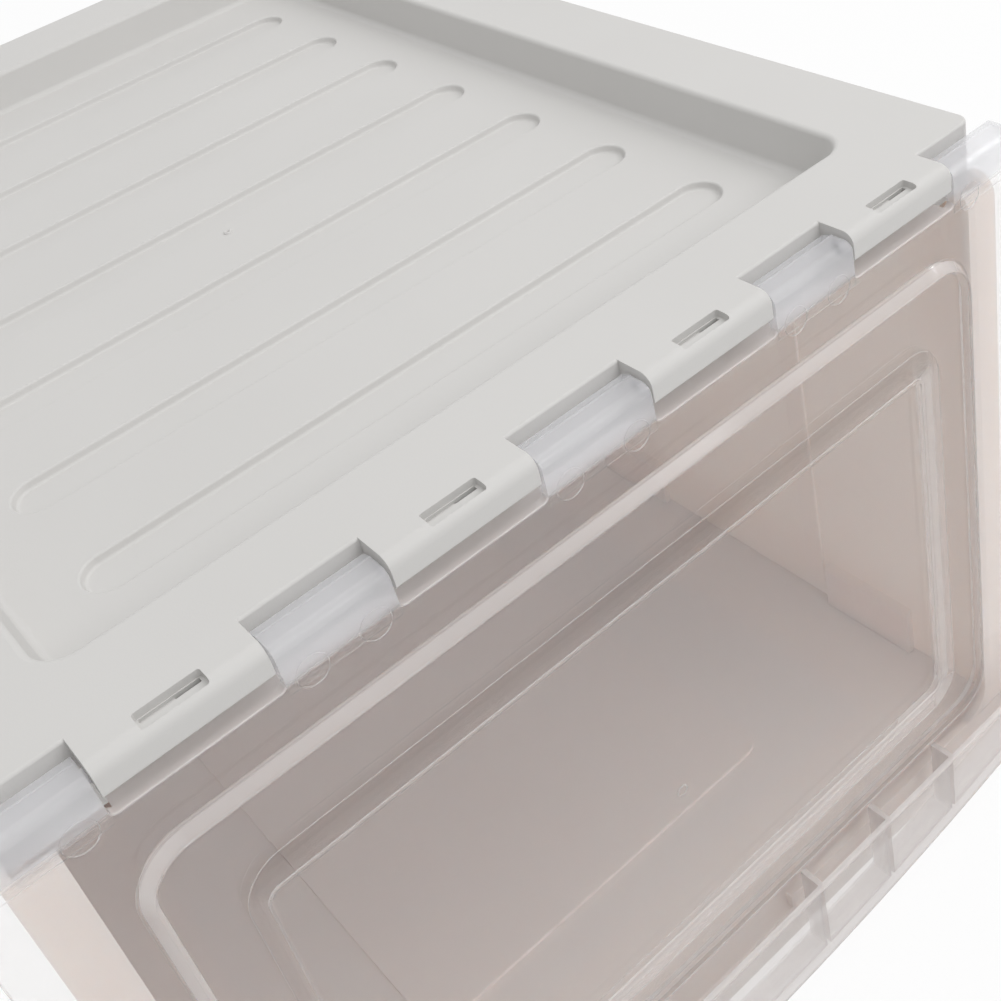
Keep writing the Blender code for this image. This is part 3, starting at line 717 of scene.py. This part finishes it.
def ledge():
    """A stiffening lip that turns back under the knuckles from the plate's top edge, lying on its back."""
    low = (-LEDGE_HALF_WIDTH, DOOR_TOP - LEDGE_THICKNESS, -LEDGE_BACK)
    return block("ledge", low, (LEDGE_HALF_WIDTH, DOOR_TOP - SEAM / 3, -DOOR_WALL + OVERLAP))


combine(door, [trough()], "UNION")
combine(door, fins() + [ledge()], "UNION")
print("door with its trough", len(door.data.polygons), "faces, pull", round(LIP_REACH / MM, 1), "mm deep")

# %% [markdown]
# The tabs and ears wrap over the front of the hinge line. Their section has an eased front edge,
# a top with a fine ridge and a round heel about the pin, and it stays the same along the whole door.
# Each tab is that section pulled along the hinge; an ear has its outer top corner rounded off as well.
# The door is stood up first, because the section is easiest to draw as it is seen from the side.

# %% Door: the tabs and ears
KNUCKLE_REACH = HINGE.y - LID_LOW.y
TAB_HEEL = 4.4 * MM
TAB_CROWN, TAB_BROW = 3.4 * MM, 2.3 * MM
TAB_RIDGE = (0.6 * MM, 3.3 * MM)
TAB_HEEL_TOP = (3.5 * MM, 2.4 * MM)
RIDGE_BEAD = 0.4 * MM
EAR_CORNER = 6.0 * MM


def stand_up(piece):
    """Turn a piece that was modelled lying on its back so that its face points to the front."""
    pick(piece)
    piece.matrix_world = Matrix.Translation((0.0, FRONT, 0.0)) @ Matrix.Rotation(math.pi / 2, 4, "X")
    bpy.ops.object.transform_apply(location=True, rotation=True, scale=True)


def tab_section():
    """Points (back, up) from the hinge line: leg, front edge, ridge, heel."""
    proud = KNUCKLE_REACH + SEAM / 2
    leg_back = FRONT + DOOR_WALL + SEAM / 2 - HINGE.y
    leg_low = DOOR_TOP - 2 * OVERLAP - HINGE.z
    shape = [(leg_back, leg_low), (-proud, leg_low)]
    shape += arc((TAB_BROW - proud, TAB_CROWN - TAB_BROW), TAB_BROW, 180, 90, 10)
    shape += arc((TAB_RIDGE[0], TAB_RIDGE[1] - RIDGE_BEAD / 2), RIDGE_BEAD, 140, 40, 6)
    shape += [TAB_HEEL_TOP]
    shape += arc((0.0, 0.0), TAB_HEEL, 0, -110, 16)
    shape += [(leg_back, -TAB_HEEL)]
    return [(HINGE.y + u, HINGE.z + v) for u, v in shape]


def ear(start, end):
    """A corner ear: the tab section with its outer top corner rounded off."""
    side = 1 if end > 0 else -1
    limit = HALF_DOOR - LEG_INSET
    piece = bar("ear", tab_section(), max(start, -limit), min(end, limit))
    far = side * HALF_DOOR
    ridge = HINGE.z + TAB_RIDGE[1]
    corner = arc((far - side * EAR_CORNER, ridge - EAR_CORNER), EAR_CORNER, 90, 90 - 90 * side, 14)
    outside = corner + [(far + side * OVERSHOOT, corner[-1][1])]
    outside += [(far + side * OVERSHOOT, TOP + OVERSHOOT), (corner[0][0], TOP + OVERSHOOT)]
    draw("outside", outside, FRONT - OVERSHOOT, "XZ")
    pull(y=NOTCH_DEPTH + 2 * OVERSHOOT)
    combine(piece, [close_up()], "DIFFERENCE")
    return piece


stand_up(door)
combine(door, [bar("tab", tab_section(), start, end) for start, end in TABS], "UNION")
combine(door, [ear(start, end) for start, end in EARS], "UNION")
print("door with tabs and ears", len(door.data.polygons), "faces")

# %% [markdown]
# A stub pin stands out from each tab end and snaps into the bore of the knuckle beside it,
# so the door needs no separate rod. The pins are short rods on the hinge line, sunk a little into their tabs.
# A long rod through the whole door would be easier to model, but the knuckles have no through hole.

# %% Door: the stub pins
PIN_REACH = 3.0 * MM


def pins():
    ends = [(start, -1) for start, _ in TABS] + [(end, 1) for _, end in TABS]
    ends += [(end, 1) if end < HALF_DOOR else (start, -1) for start, end in EARS]
    return [rod("pin", *sorted((x + way * PIN_REACH, x - way * OVERLAP)), PIN_RADIUS) for x, way in ends]


combine(door, pins(), "UNION")
print("door with its pins", len(door.data.polygons), "faces")

# %% [markdown]
# Where clear plastic bends, its edge catches the light as a bright line.
# Fine raised lines along those bends give the light something to catch: each is the bend's outline,
# turned into a curve with a round bevel and back into a mesh.
# They are joined after the larger pieces, and turn their corners in other steps than the door does,
# so that no edge of a line lies exactly on an edge of the door, which would upset the Boolean.

# %% Door: the bright lines
BEAD_RADIUS, BEAD_BURIED = 0.3 * MM, 0.1 * MM
MOUTH_BEAD, PANEL_BEAD = 0.2 * MM, 0.7 * MM
BEAD_STEPS, BEAD_WIDER = 11, 0.05 * MM


def bead(ring, z, radius=BEAD_RADIUS):
    """A fine raised line along a rounded rectangle: its outline turned into a thin round wire."""
    half, bottom, top, corner = ring
    wire = sheet("bead", -half, half, bottom, top, z - BEAD_BURIED, corner + BEAD_WIDER, BEAD_STEPS)
    bpy.ops.mesh.delete(type="ONLY_FACE")
    bpy.ops.object.mode_set(mode="OBJECT")
    bpy.ops.object.convert(target="CURVE")
    wire.data.bevel_depth = radius
    wire.data.bevel_resolution = 2
    bpy.ops.object.convert(target="MESH")
    edit_all()
    return close_up()


def beads():
    """The lines at the foot and brow of the frame, and round the panel's mouth and floor."""
    foot = (BAND_HALF_WIDTH, BAND_BOTTOM, BAND_TOP, BAND_CORNER)
    run = sum(inwards for inwards, _ in BAND_PROFILE) - BAND_EDGE / 4
    brow = (foot[0] - run, foot[1] + run, foot[2] - run, foot[3] - run)
    mouth, floor = bead(MOUTH, BAND_RISE, MOUTH_BEAD), bead(PANEL, BAND_RISE - PANEL_SINK, PANEL_BEAD)
    return [bead(foot, 0.0), bead(brow, BAND_RISE), mouth, floor]


lines = together(beads())
stand_up(lines)
combine(door, [lines], "UNION")
print("door with its bright lines", len(door.data.polygons), "faces")

# %% [markdown]
# Moulded parts carry small marks: round witness lines where the ejector pins pushed the door out,
# a ring where the plastic flowed in, and a nub on the lid. A bump map could fake them,
# but then they would vanish from the side, so thin rings are turned from a torus and joined to the plastic.

# %% Moulding marks
MARK_RADIUS, MARK_TUBE, MARK_INSET, MARK_LIFT = 3.5 * MM, 0.16 * MM, 5.6 * MM, 0.4 * MM
GATE_RADIUS, GATE_TUBE, GATE_HEIGHT = 1.5 * MM, 0.2 * MM, 113.3 * MM
NUB_RADIUS, NUB_TUBE, NUB_PLACE = 0.8 * MM, 0.5 * MM, 11.4 * MM
RING_STEPS, TUBE_STEPS = 44, 8


def witness_ring(x, y, z, radius, tube, tilt=math.pi / 2):
    """A thin ring on an upright face, or lying flat with no tilt."""
    to_object_mode()
    bpy.ops.mesh.primitive_torus_add(major_radius=radius, minor_radius=tube, major_segments=RING_STEPS,
                                     minor_segments=TUBE_STEPS, location=(x, y, z), rotation=(tilt, 0, 0))
    bpy.ops.object.transform_apply(location=True, rotation=True, scale=True)
    return bpy.context.object


def mark_places():
    """A ring near each end of every tab, and one near the inner end of each ear."""
    places = [end for start, stop in TABS for end in (start + MARK_INSET, stop - MARK_INSET)]
    for start, stop in EARS:
        places.append(start + MARK_INSET if stop > 0 else stop - MARK_INSET)
    return places


nub = witness_ring(0.0, (TUB_FRONT + TUB_BACK) / 2 - NUB_PLACE, TUB_FLOOR, NUB_RADIUS, NUB_TUBE, 0.0)
combine(lid, [nub], "UNION")
soften(lid)
rings = [witness_ring(x, FRONT - SEAM / 3, DOOR_TOP + MARK_LIFT, MARK_RADIUS, MARK_TUBE)
         for x in mark_places()]
gate_face = FRONT - BAND_RISE + PANEL_SINK - SEAM / 3
rings.append(witness_ring(0.0, gate_face, GATE_HEIGHT, GATE_RADIUS, GATE_TUBE))
combine(door, rings, "UNION")
soften(door)
print("door with its marks", len(door.data.polygons), "faces,", len(rings), "rings")

# %% [markdown]
# The base, the sides and the back are seen through the door and from outside.
# Their solids already have the right walls and flanges, so a copy of each is merged and its edges are eased
# with a Bevel modifier, which is safe on such plain shapes. Drawing them anew would only repeat the solids.
# Each side wall also gets the shallow upright rib that shows through the door as a pale stripe.

# %% Body panels
BODY_NODES = ("base_panel", "left_side_panel", "right_side_panel", "back_panel")
MERGE_DISTANCE, FLAT_WITHIN = 0.01 * MM, 1
BODY_EASE, BODY_EASE_STEPS, BODY_EASE_ANGLE = 0.5 * MM, 3, 40
SIDE_INSIDE = 129.8 * MM
RIB_PLACE, RIB_WIDTH, RIB_RISE = 66.5 * MM, 8.0 * MM, 0.9 * MM
RIB_FOOT, RIB_HEAD, RIB_EDGE = 27.0 * MM, 212.0 * MM, 0.6 * MM
RIB_SIDES = {"left_side_panel": -1, "right_side_panel": 1}


def side_rib(side):
    """A shallow upright rib on the inner face of one side wall."""
    x0, x1 = sorted((side * (SIDE_INSIDE - RIB_RISE), side * (SIDE_INSIDE + OVERLAP)))
    front = NOTCH_BACK + RIB_PLACE
    return block("rib", (x0, front, RIB_FOOT), (x1, front + RIB_WIDTH, RIB_HEAD), RIB_EDGE)


def merged_copy(node):
    """A copy of a solid whose loose triangles are merged into whole faces."""
    pick(frame["nodes"][node])
    bpy.ops.object.duplicate(linked=False)
    twin = bpy.context.object
    twin.parent = None
    twin.name = node.replace("_panel", "_moulding")
    for key in list(twin.keys()):
        del twin[key]
    edit_all()
    bpy.ops.mesh.remove_doubles(threshold=MERGE_DISTANCE)
    bpy.ops.mesh.dissolve_limited(angle_limit=math.radians(FLAT_WITHIN))
    bpy.ops.object.mode_set(mode="OBJECT")
    return twin


def body_moulding(node):
    twin = merged_copy(node)
    if node in RIB_SIDES:
        combine(twin, [side_rib(RIB_SIDES[node])], "UNION")
    bpy.ops.object.modifier_add(type="BEVEL")
    edge = twin.modifiers[-1]
    edge.width = BODY_EASE
    edge.segments = BODY_EASE_STEPS
    edge.limit_method = "ANGLE"
    edge.angle_limit = math.radians(BODY_EASE_ANGLE)
    bpy.ops.object.modifier_apply(modifier=edge.name)
    return soften(twin)


body = {node: body_moulding(node) for node in BODY_NODES}
print("body panels", [len(piece.data.polygons) for piece in body.values()], "faces")

# %% [markdown]
# A material is a small program of nodes. Wired by hand, a sum of masks soon becomes a tangle,
# so a socket is wrapped in a class that knows plus, minus and times: each operator adds one Math node.
# The reflected forms let a plain number stand first, as in 1 - mask.


# %% Shader sums
class Wire:
    """A shader socket that can be used in sums."""

    def __init__(self, tree, socket):
        self.tree = tree
        self.socket = socket

    def math(self, operation, *values):
        node = self.tree.nodes.new("ShaderNodeMath")
        node.operation = operation
        for socket, value in zip(node.inputs, values):
            plug(self.tree, socket, value)
        return Wire(self.tree, node.outputs[0])

    def __add__(self, other):
        return self.math("ADD", self, other)

    def __radd__(self, other):
        return self.math("ADD", other, self)

    def __sub__(self, other):
        return self.math("SUBTRACT", self, other)

    def __rsub__(self, other):
        return self.math("SUBTRACT", other, self)

    def __mul__(self, other):
        return self.math("MULTIPLY", self, other)

    def __rmul__(self, other):
        return self.math("MULTIPLY", other, self)


def plug(tree, socket, value):
    """Link a wire to a socket, or set the socket to a plain value."""
    if isinstance(value, Wire):
        tree.links.new(value.socket, socket)
    else:
        socket.default_value = value


print("ready for shader sums")

# %% [markdown]
# Every finish has one Principled shader, and any other node comes from one method that takes the node's type,
# its settings and its sockets. Patterns read Object coordinates, so they stay on a piece when it moves.
# A ramp turns a height or a slope into a mask, which is how one moulding can be clear here and milky there.


# %% Finishes
class Finish:
    """A material with one Principled shader and a short way to add nodes to it."""

    def __init__(self, name):
        self.material = bpy.data.materials.new(name)
        self.material.use_nodes = True
        self.tree = self.material.node_tree
        self.shader = self.tree.nodes["Principled BSDF"]
        self.out = self.tree.nodes["Material Output"]

    def node(self, kind, settings, sockets, output=0):
        node = self.tree.nodes.new(kind)
        for name, value in settings.items():
            setattr(node, name, value)
        for name, value in sockets.items():
            plug(self.tree, node.inputs[name], value)
        return Wire(self.tree, node.outputs[output])

    def set(self, **sockets):
        for name, value in sockets.items():
            plug(self.tree, self.shader.inputs[name.replace("_", " ")], value)

    def noise(self, scale, detail=2.0, rough=0.5):
        place = self.node("ShaderNodeTexCoord", {}, {}, "Object")
        sockets = {"Vector": place, "Scale": scale, "Detail": detail, "Roughness": rough}
        return self.node("ShaderNodeTexNoise", {}, sockets)

    def parts(self, space):
        """The X, Y and Z parts of a texture coordinate, such as the place or the normal."""
        place = self.node("ShaderNodeTexCoord", {}, {}, space)
        split = self.node("ShaderNodeSeparateXYZ", {}, {0: place}).socket.node
        return [Wire(self.tree, socket) for socket in split.outputs]

    def ramp(self, value, low, high):
        """0 before one value, 1 past another and a straight line between them."""
        return self.node("ShaderNodeMapRange", {}, {"Value": value, "From Min": low, "From Max": high})

    def bump(self, height, strength, distance):
        return self.node("ShaderNodeBump", {}, {"Strength": strength, "Distance": distance, "Height": height})

    def blend(self, factor, first, second):
        return self.node("ShaderNodeMix", {"data_type": "RGBA"}, {0: factor, 6: first, 7: second}, 2)

    def cover(self, factor, other):
        """Put another shader over the Principled one by a factor."""
        under = Wire(self.tree, self.shader.outputs[0])
        both = self.node("ShaderNodeMixShader", {}, {0: factor, 1: under, 2: other})
        plug(self.tree, self.out.inputs["Surface"], both)


print("ready to mix finishes")

# %% [markdown]
# The lid is a light grey and the body a cream polypropylene, both from a mould with a fine satin grain.
# A slow noise lets the tone drift a little, as real batches do, and a very fine one roughens the surface.
# The thin body walls also let some light through, so they get a few millimetres of subsurface scattering:
# a brighter plain colour would look flat where one wall shades the next.

# %% Satin plastic
PLASTIC_IOR = 1.49
DRIFT_SCALE, GRAIN_SCALE = 14.0, 2600.0
GRAIN_HEIGHT = 0.06 * MM
ROUGH_DRIFT = 0.10
GLOW_REACH, GLOW_TINT = 4.0 * MM, (1.0, 0.85, 0.75)
SATIN_SHINE = 0.35
LID_GREYS = (0.615, 0.605, 0.590, 1.0), (0.665, 0.655, 0.640, 1.0)
BODY_CREAMS = (0.955, 0.80, 0.745, 1.0), (0.97, 0.825, 0.77, 1.0)


def satin_plastic(name, dark, light, roughness, grain, glow=0.0):
    """Moulded satin plastic: a slow drift of tone and a fine spark-eroded grain."""
    finish = Finish(name)
    drift = finish.noise(DRIFT_SCALE, 3.0)
    fine = finish.noise(GRAIN_SCALE, 2.0, 0.6)
    finish.set(Base_Color=finish.blend(drift, dark, light))
    finish.set(Roughness=roughness + ROUGH_DRIFT * (drift - 0.5))
    finish.set(Normal=finish.bump(fine, grain, GRAIN_HEIGHT))
    finish.set(Subsurface_Weight=glow, Subsurface_Radius=GLOW_TINT, Subsurface_Scale=GLOW_REACH)
    finish.set(IOR=PLASTIC_IOR, Specular_IOR_Level=SATIN_SHINE)
    return finish.material


LID_PLASTIC = satin_plastic("lid_plastic", *LID_GREYS, 0.46, 0.30)
BODY_PLASTIC = satin_plastic("body_plastic", *BODY_CREAMS, 0.70, 0.25, 0.7)
print("satin plastics:", LID_PLASTIC.name, BODY_PLASTIC.name)

# %% [markdown]
# The door is clear polypropylene, which is never as clear as glass: it has a slight haze that shows where
# light falls on it. A full glass shader bends the view of every thin wall and stays noisy,
# so most light goes straight through by Alpha, with a little true refraction left for the shine.
# A milky shader is mixed over that: a little on the flat plate, more on the tabs and on the pull.
# On slopes that face up or to the left, and most near the plate's top edge, more milk is painted light,
# and a dark milk on the panel's upper slope, which faces away from the light, is painted shade.

# %% Clear plastic
CLEAR_DRIFT_SCALE, RIPPLE_SCALE = 18.0, 700.0
RIPPLE, RIPPLE_HEIGHT = 0.03, 0.05 * MM
CLEAR_COLOURS = ((0.965, 0.96, 0.96, 1.0), (0.985, 0.98, 0.98, 1.0))
MILK_COLOURS = ((0.82, 0.77, 0.755, 1.0), (0.87, 0.82, 0.805, 1.0))
# The dark colour is painted shade for the panel's upper slope, which faces away from the light.
PAINTED_SHADE_COLOUR, TAB_COLOUR = (0.34, 0.29, 0.275, 1.0), (0.82, 0.82, 0.85, 1.0)
CLEAR_SHARE, CLEAR_ROUGHNESS, CLEAR_ROUGH_DRIFT, MILK_ROUGHNESS = 0.96, 0.06, 0.05, 0.09
PAINTED_SHADE_TILT = (-0.05, -0.17)
# The flat, tab and pull amounts are the plastic's own haze; the slope and brow amounts are painted light on
# faces turned up or to the left, and the shade amount is painted shade.
FLAT_HAZE, PAINTED_SLOPE_LIGHT, PAINTED_BROW_LIGHT, TAB_HAZE, PULL_HAZE, PAINTED_SHADE_AMOUNT = 0.09, 0.38, 0.30, 0.25, 0.05, 0.06
MOST_HAZE = 0.62
FLAT_ALPHA, SLOPE_ALPHA = 0.14, 0.40


def clear_plastic(name):
    """Clear moulded plastic: thin walls let most light through; tabs and pull look milky, lit slopes get
    painted light and the panel's upper slope painted shade.
    """
    finish = Finish(name)
    drift = finish.noise(CLEAR_DRIFT_SCALE, 3.0)
    ripple = finish.bump(finish.noise(RIPPLE_SCALE), RIPPLE, RIPPLE_HEIGHT)
    finish.set(Base_Color=finish.blend(drift, *CLEAR_COLOURS), Normal=ripple)
    finish.set(Roughness=CLEAR_ROUGHNESS + CLEAR_ROUGH_DRIFT * drift)
    finish.set(Transmission_Weight=CLEAR_SHARE, IOR=PLASTIC_IOR)
    across, _, up = finish.parts("Normal")
    _, depth, height = finish.parts("Object")
    tabs = finish.ramp(height, DOOR_TOP + SEAM, DOOR_TOP + 5 * SEAM)
    # Painted light: faces turned up or to the left get more milk and a higher Alpha, as if lit, and more
    # still near the plate's top edge.
    plate = (up.math("MAXIMUM", up, 0.0) + up.math("MAXIMUM", 0.0 - across, 0.0)) * (1.0 - tabs)
    brow = finish.ramp(height, DOOR_TOP - 3 * SEAM, DOOR_TOP - SEAM)
    pull_rim = finish.ramp(depth, FRONT - BAND_RISE - SEAM, FRONT - BAND_RISE - 5 * SEAM)
    # Painted shade: a dark milk on the panel's upper slope, where it faces down and away from the light.
    upper_part = finish.ramp(height, PANEL_TOP - SEAM, PANEL_TOP + SEAM)
    painted_shade = finish.ramp(up, *PAINTED_SHADE_TILT) * upper_part * (1.0 - tabs)
    milk_tone_with_painted_shade = finish.blend(painted_shade, finish.blend(drift, *MILK_COLOURS), PAINTED_SHADE_COLOUR)
    milk_layer_with_painted_light = finish.node("ShaderNodeBsdfPrincipled", {}, {
        "Base Color": finish.blend(tabs, milk_tone_with_painted_shade, TAB_COLOUR), "Roughness": MILK_ROUGHNESS,
        "IOR": PLASTIC_IOR, "Normal": ripple})
    # The milk's share: the plastic's own haze, plus painted light on lit faces and painted shade on the
    # panel's upper slope.
    haze_and_painted_light = (FLAT_HAZE + PAINTED_SLOPE_LIGHT * plate + PAINTED_BROW_LIGHT * plate * brow
            + TAB_HAZE * tabs + PULL_HAZE * pull_rim + PAINTED_SHADE_AMOUNT * painted_shade)
    finish.set(Alpha=FLAT_ALPHA + SLOPE_ALPHA * plate)
    finish.cover(haze_and_painted_light.math("MINIMUM", haze_and_painted_light, MOST_HAZE), milk_layer_with_painted_light)
    return finish.material


DOOR_PLASTIC = clear_plastic("door_plastic")
print("clear plastic:", len(DOOR_PLASTIC.node_tree.nodes), "nodes")

# %% [markdown]
# Each moulding now gets its plastic and is parented to the body it rides on, and the plain solid it stands
# for is hidden.
# The door rides on its own body, so that it can swing; all else rides with the box.
# Parenting by hand would do for a picture, but then the moving model wouldn't know the pieces.


# %% Dress the pieces
def dress(piece, material, node, moving_body):
    piece.data.materials.clear()
    piece.data.materials.append(material)
    for face in piece.data.polygons:
        face.material_index = 0
    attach(piece, moving_body)
    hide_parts(node)


dress(lid, LID_PLASTIC, "top_panel", "box")
dress(door, DOOR_PLASTIC, "front_door", "door")
for node, piece in body.items():
    dress(piece, BODY_PLASTIC, node, "box")
print(2 + len(body), "pieces dressed")

# %% [markdown]
# The box stands on a pale floor before a white background, as in a catalogue.
# More light would also turn the floor white, but would burn out the lid. So the floor and the world
# look white only to rays that show them as they are, and light the box at a plain level.
# The floor keeps the box's shadow.

# %% Floor and world
FLOOR_SIZE, FLOOR_DROP = 8.0, 0.2 * MM
FLOOR_COLOUR, FLOOR_ROUGHNESS = (0.90, 0.90, 0.90, 1.0), 0.9
FLOOR_GLOW, WORLD_LIGHT = 0.93, 0.52


def shown(tree):
    """1 for rays that show the background as it is: seen directly, mirrored or through the clear door."""
    path = tree.nodes.new("ShaderNodeLightPath")
    names = ("Is Camera Ray", "Is Glossy Ray", "Is Transmission Ray")
    seen, mirrored, through = (Wire(tree, path.outputs[name]) for name in names)
    return seen.math("MINIMUM", seen + mirrored + through, 1.0)


to_object_mode()
bpy.ops.mesh.primitive_plane_add(size=FLOOR_SIZE, location=(0.0, 0.0, -FLOOR_DROP))
floor = bpy.context.object
floor.name = "floor"
pale = Finish("pale_floor")
pale.set(Base_Color=FLOOR_COLOUR, Roughness=FLOOR_ROUGHNESS)
pale.cover(FLOOR_GLOW * shown(pale.tree), pale.node("ShaderNodeEmission", {}, {"Strength": 1.0}))
floor.data.materials.append(pale.material)

scene = bpy.context.scene
scene.view_settings.view_transform = "Standard"
world = bpy.data.worlds.new("studio")
scene.world = world
world.use_nodes = True
sky = world.node_tree.nodes["Background"]
sky.inputs["Color"].default_value = (1.0, 1.0, 1.0, 1.0)
sky_strength = WORLD_LIGHT + (1.0 - WORLD_LIGHT) * shown(world.node_tree)
plug(world.node_tree, sky.inputs["Strength"], sky_strength)
print("floor and world set, world light", WORLD_LIGHT)

# %% [markdown]
# Three soft boxes light the scene: a wide one overhead, a smaller one to the right, and one in front
# that reaches through the door. Large lamps give the soft shadows of a studio;
# a sun lamp would draw a hard edge under each knuckle.

# %% Lamps
LAMPS = (
    ("ceiling", (0.15, 0.0, 1.6), (0.0, 0.0, 0.2), (1.6, 1.6), 7.2),
    ("right_key", (1.05, -0.40, 1.10), (0.0, -0.15, 0.2), (0.45, 0.7), 2.7),
    ("front_fill", (0.40, -1.25, 1.15), (-0.03, 0.0, 0.1), (1.0, 0.6), 5.7),
)


def soft_box(name, place, aim, size, watts):
    """A large rectangular lamp that points at a spot."""
    to_object_mode()
    bpy.ops.object.light_add(type="AREA", location=place)
    lamp = bpy.context.object
    lamp.name = name
    lamp.data.shape = "RECTANGLE"
    lamp.data.size, lamp.data.size_y = size
    lamp.data.energy = watts
    lamp.rotation_euler = (Vector(aim) - lamp.location).to_track_quat("-Z", "Y").to_euler()


for lamp in LAMPS:
    soft_box(*lamp)
print(len(LAMPS), "lamps,", round(sum(lamp[-1] for lamp in LAMPS), 1), "W in all")

# %% [markdown]
# The camera looks down at the hinge line from the front left, a little rolled, with a slightly shifted lens.
# Its place and angles were fitted to edges that are parallel on the box, which meet at vanishing points
# in the picture. Moving it by eye could work too, but rarely gets roll and focal length right together.

# %% Camera
PHOTO_SIZE = 1001
FOCAL_PIXELS = 1444.5
SENSOR = 36.0
SHIFT = (-0.07, -0.15)
EYE_LEFT, EYE_AHEAD, EYE_ABOVE = 122.56 * MM, 197.48 * MM, 175.87 * MM
YAW, PITCH, ROLL = math.radians(32.78), math.radians(35.36), math.radians(13.33)
NEAR_CLIP = 0.01

EYE = Vector((-EYE_LEFT, NOTCH_BACK - EYE_AHEAD, TOP + EYE_ABOVE))


def camera_axes():
    """The camera's right, up and backward directions."""
    ahead = Vector((math.sin(YAW) * math.cos(PITCH), math.cos(YAW) * math.cos(PITCH), -math.sin(PITCH)))
    right = Vector((math.cos(YAW), -math.sin(YAW), 0.0))
    down = ahead.cross(right)
    across = math.cos(ROLL) * right + math.sin(ROLL) * down
    below = math.cos(ROLL) * down - math.sin(ROLL) * right
    return across, -below, -ahead


bpy.ops.object.camera_add(location=EYE)
camera = bpy.context.object
turn = Matrix([list(row) for row in camera_axes()]).transposed().to_4x4()
camera.matrix_world = Matrix.Translation(EYE) @ turn
camera.data.sensor_width = SENSOR
camera.data.lens = SENSOR * FOCAL_PIXELS / PHOTO_SIZE
camera.data.shift_x, camera.data.shift_y = SHIFT
camera.data.clip_start = NEAR_CLIP
scene.camera = camera
print("camera at", [round(part / MM) for part in EYE], "mm, lens", round(camera.data.lens, 1), "mm")

# %% [markdown]
# Last, a short message says that the scene is built. Dressing may add millimetres to the plain solids, never
# a new size.

# %% Finish
print("scene built")
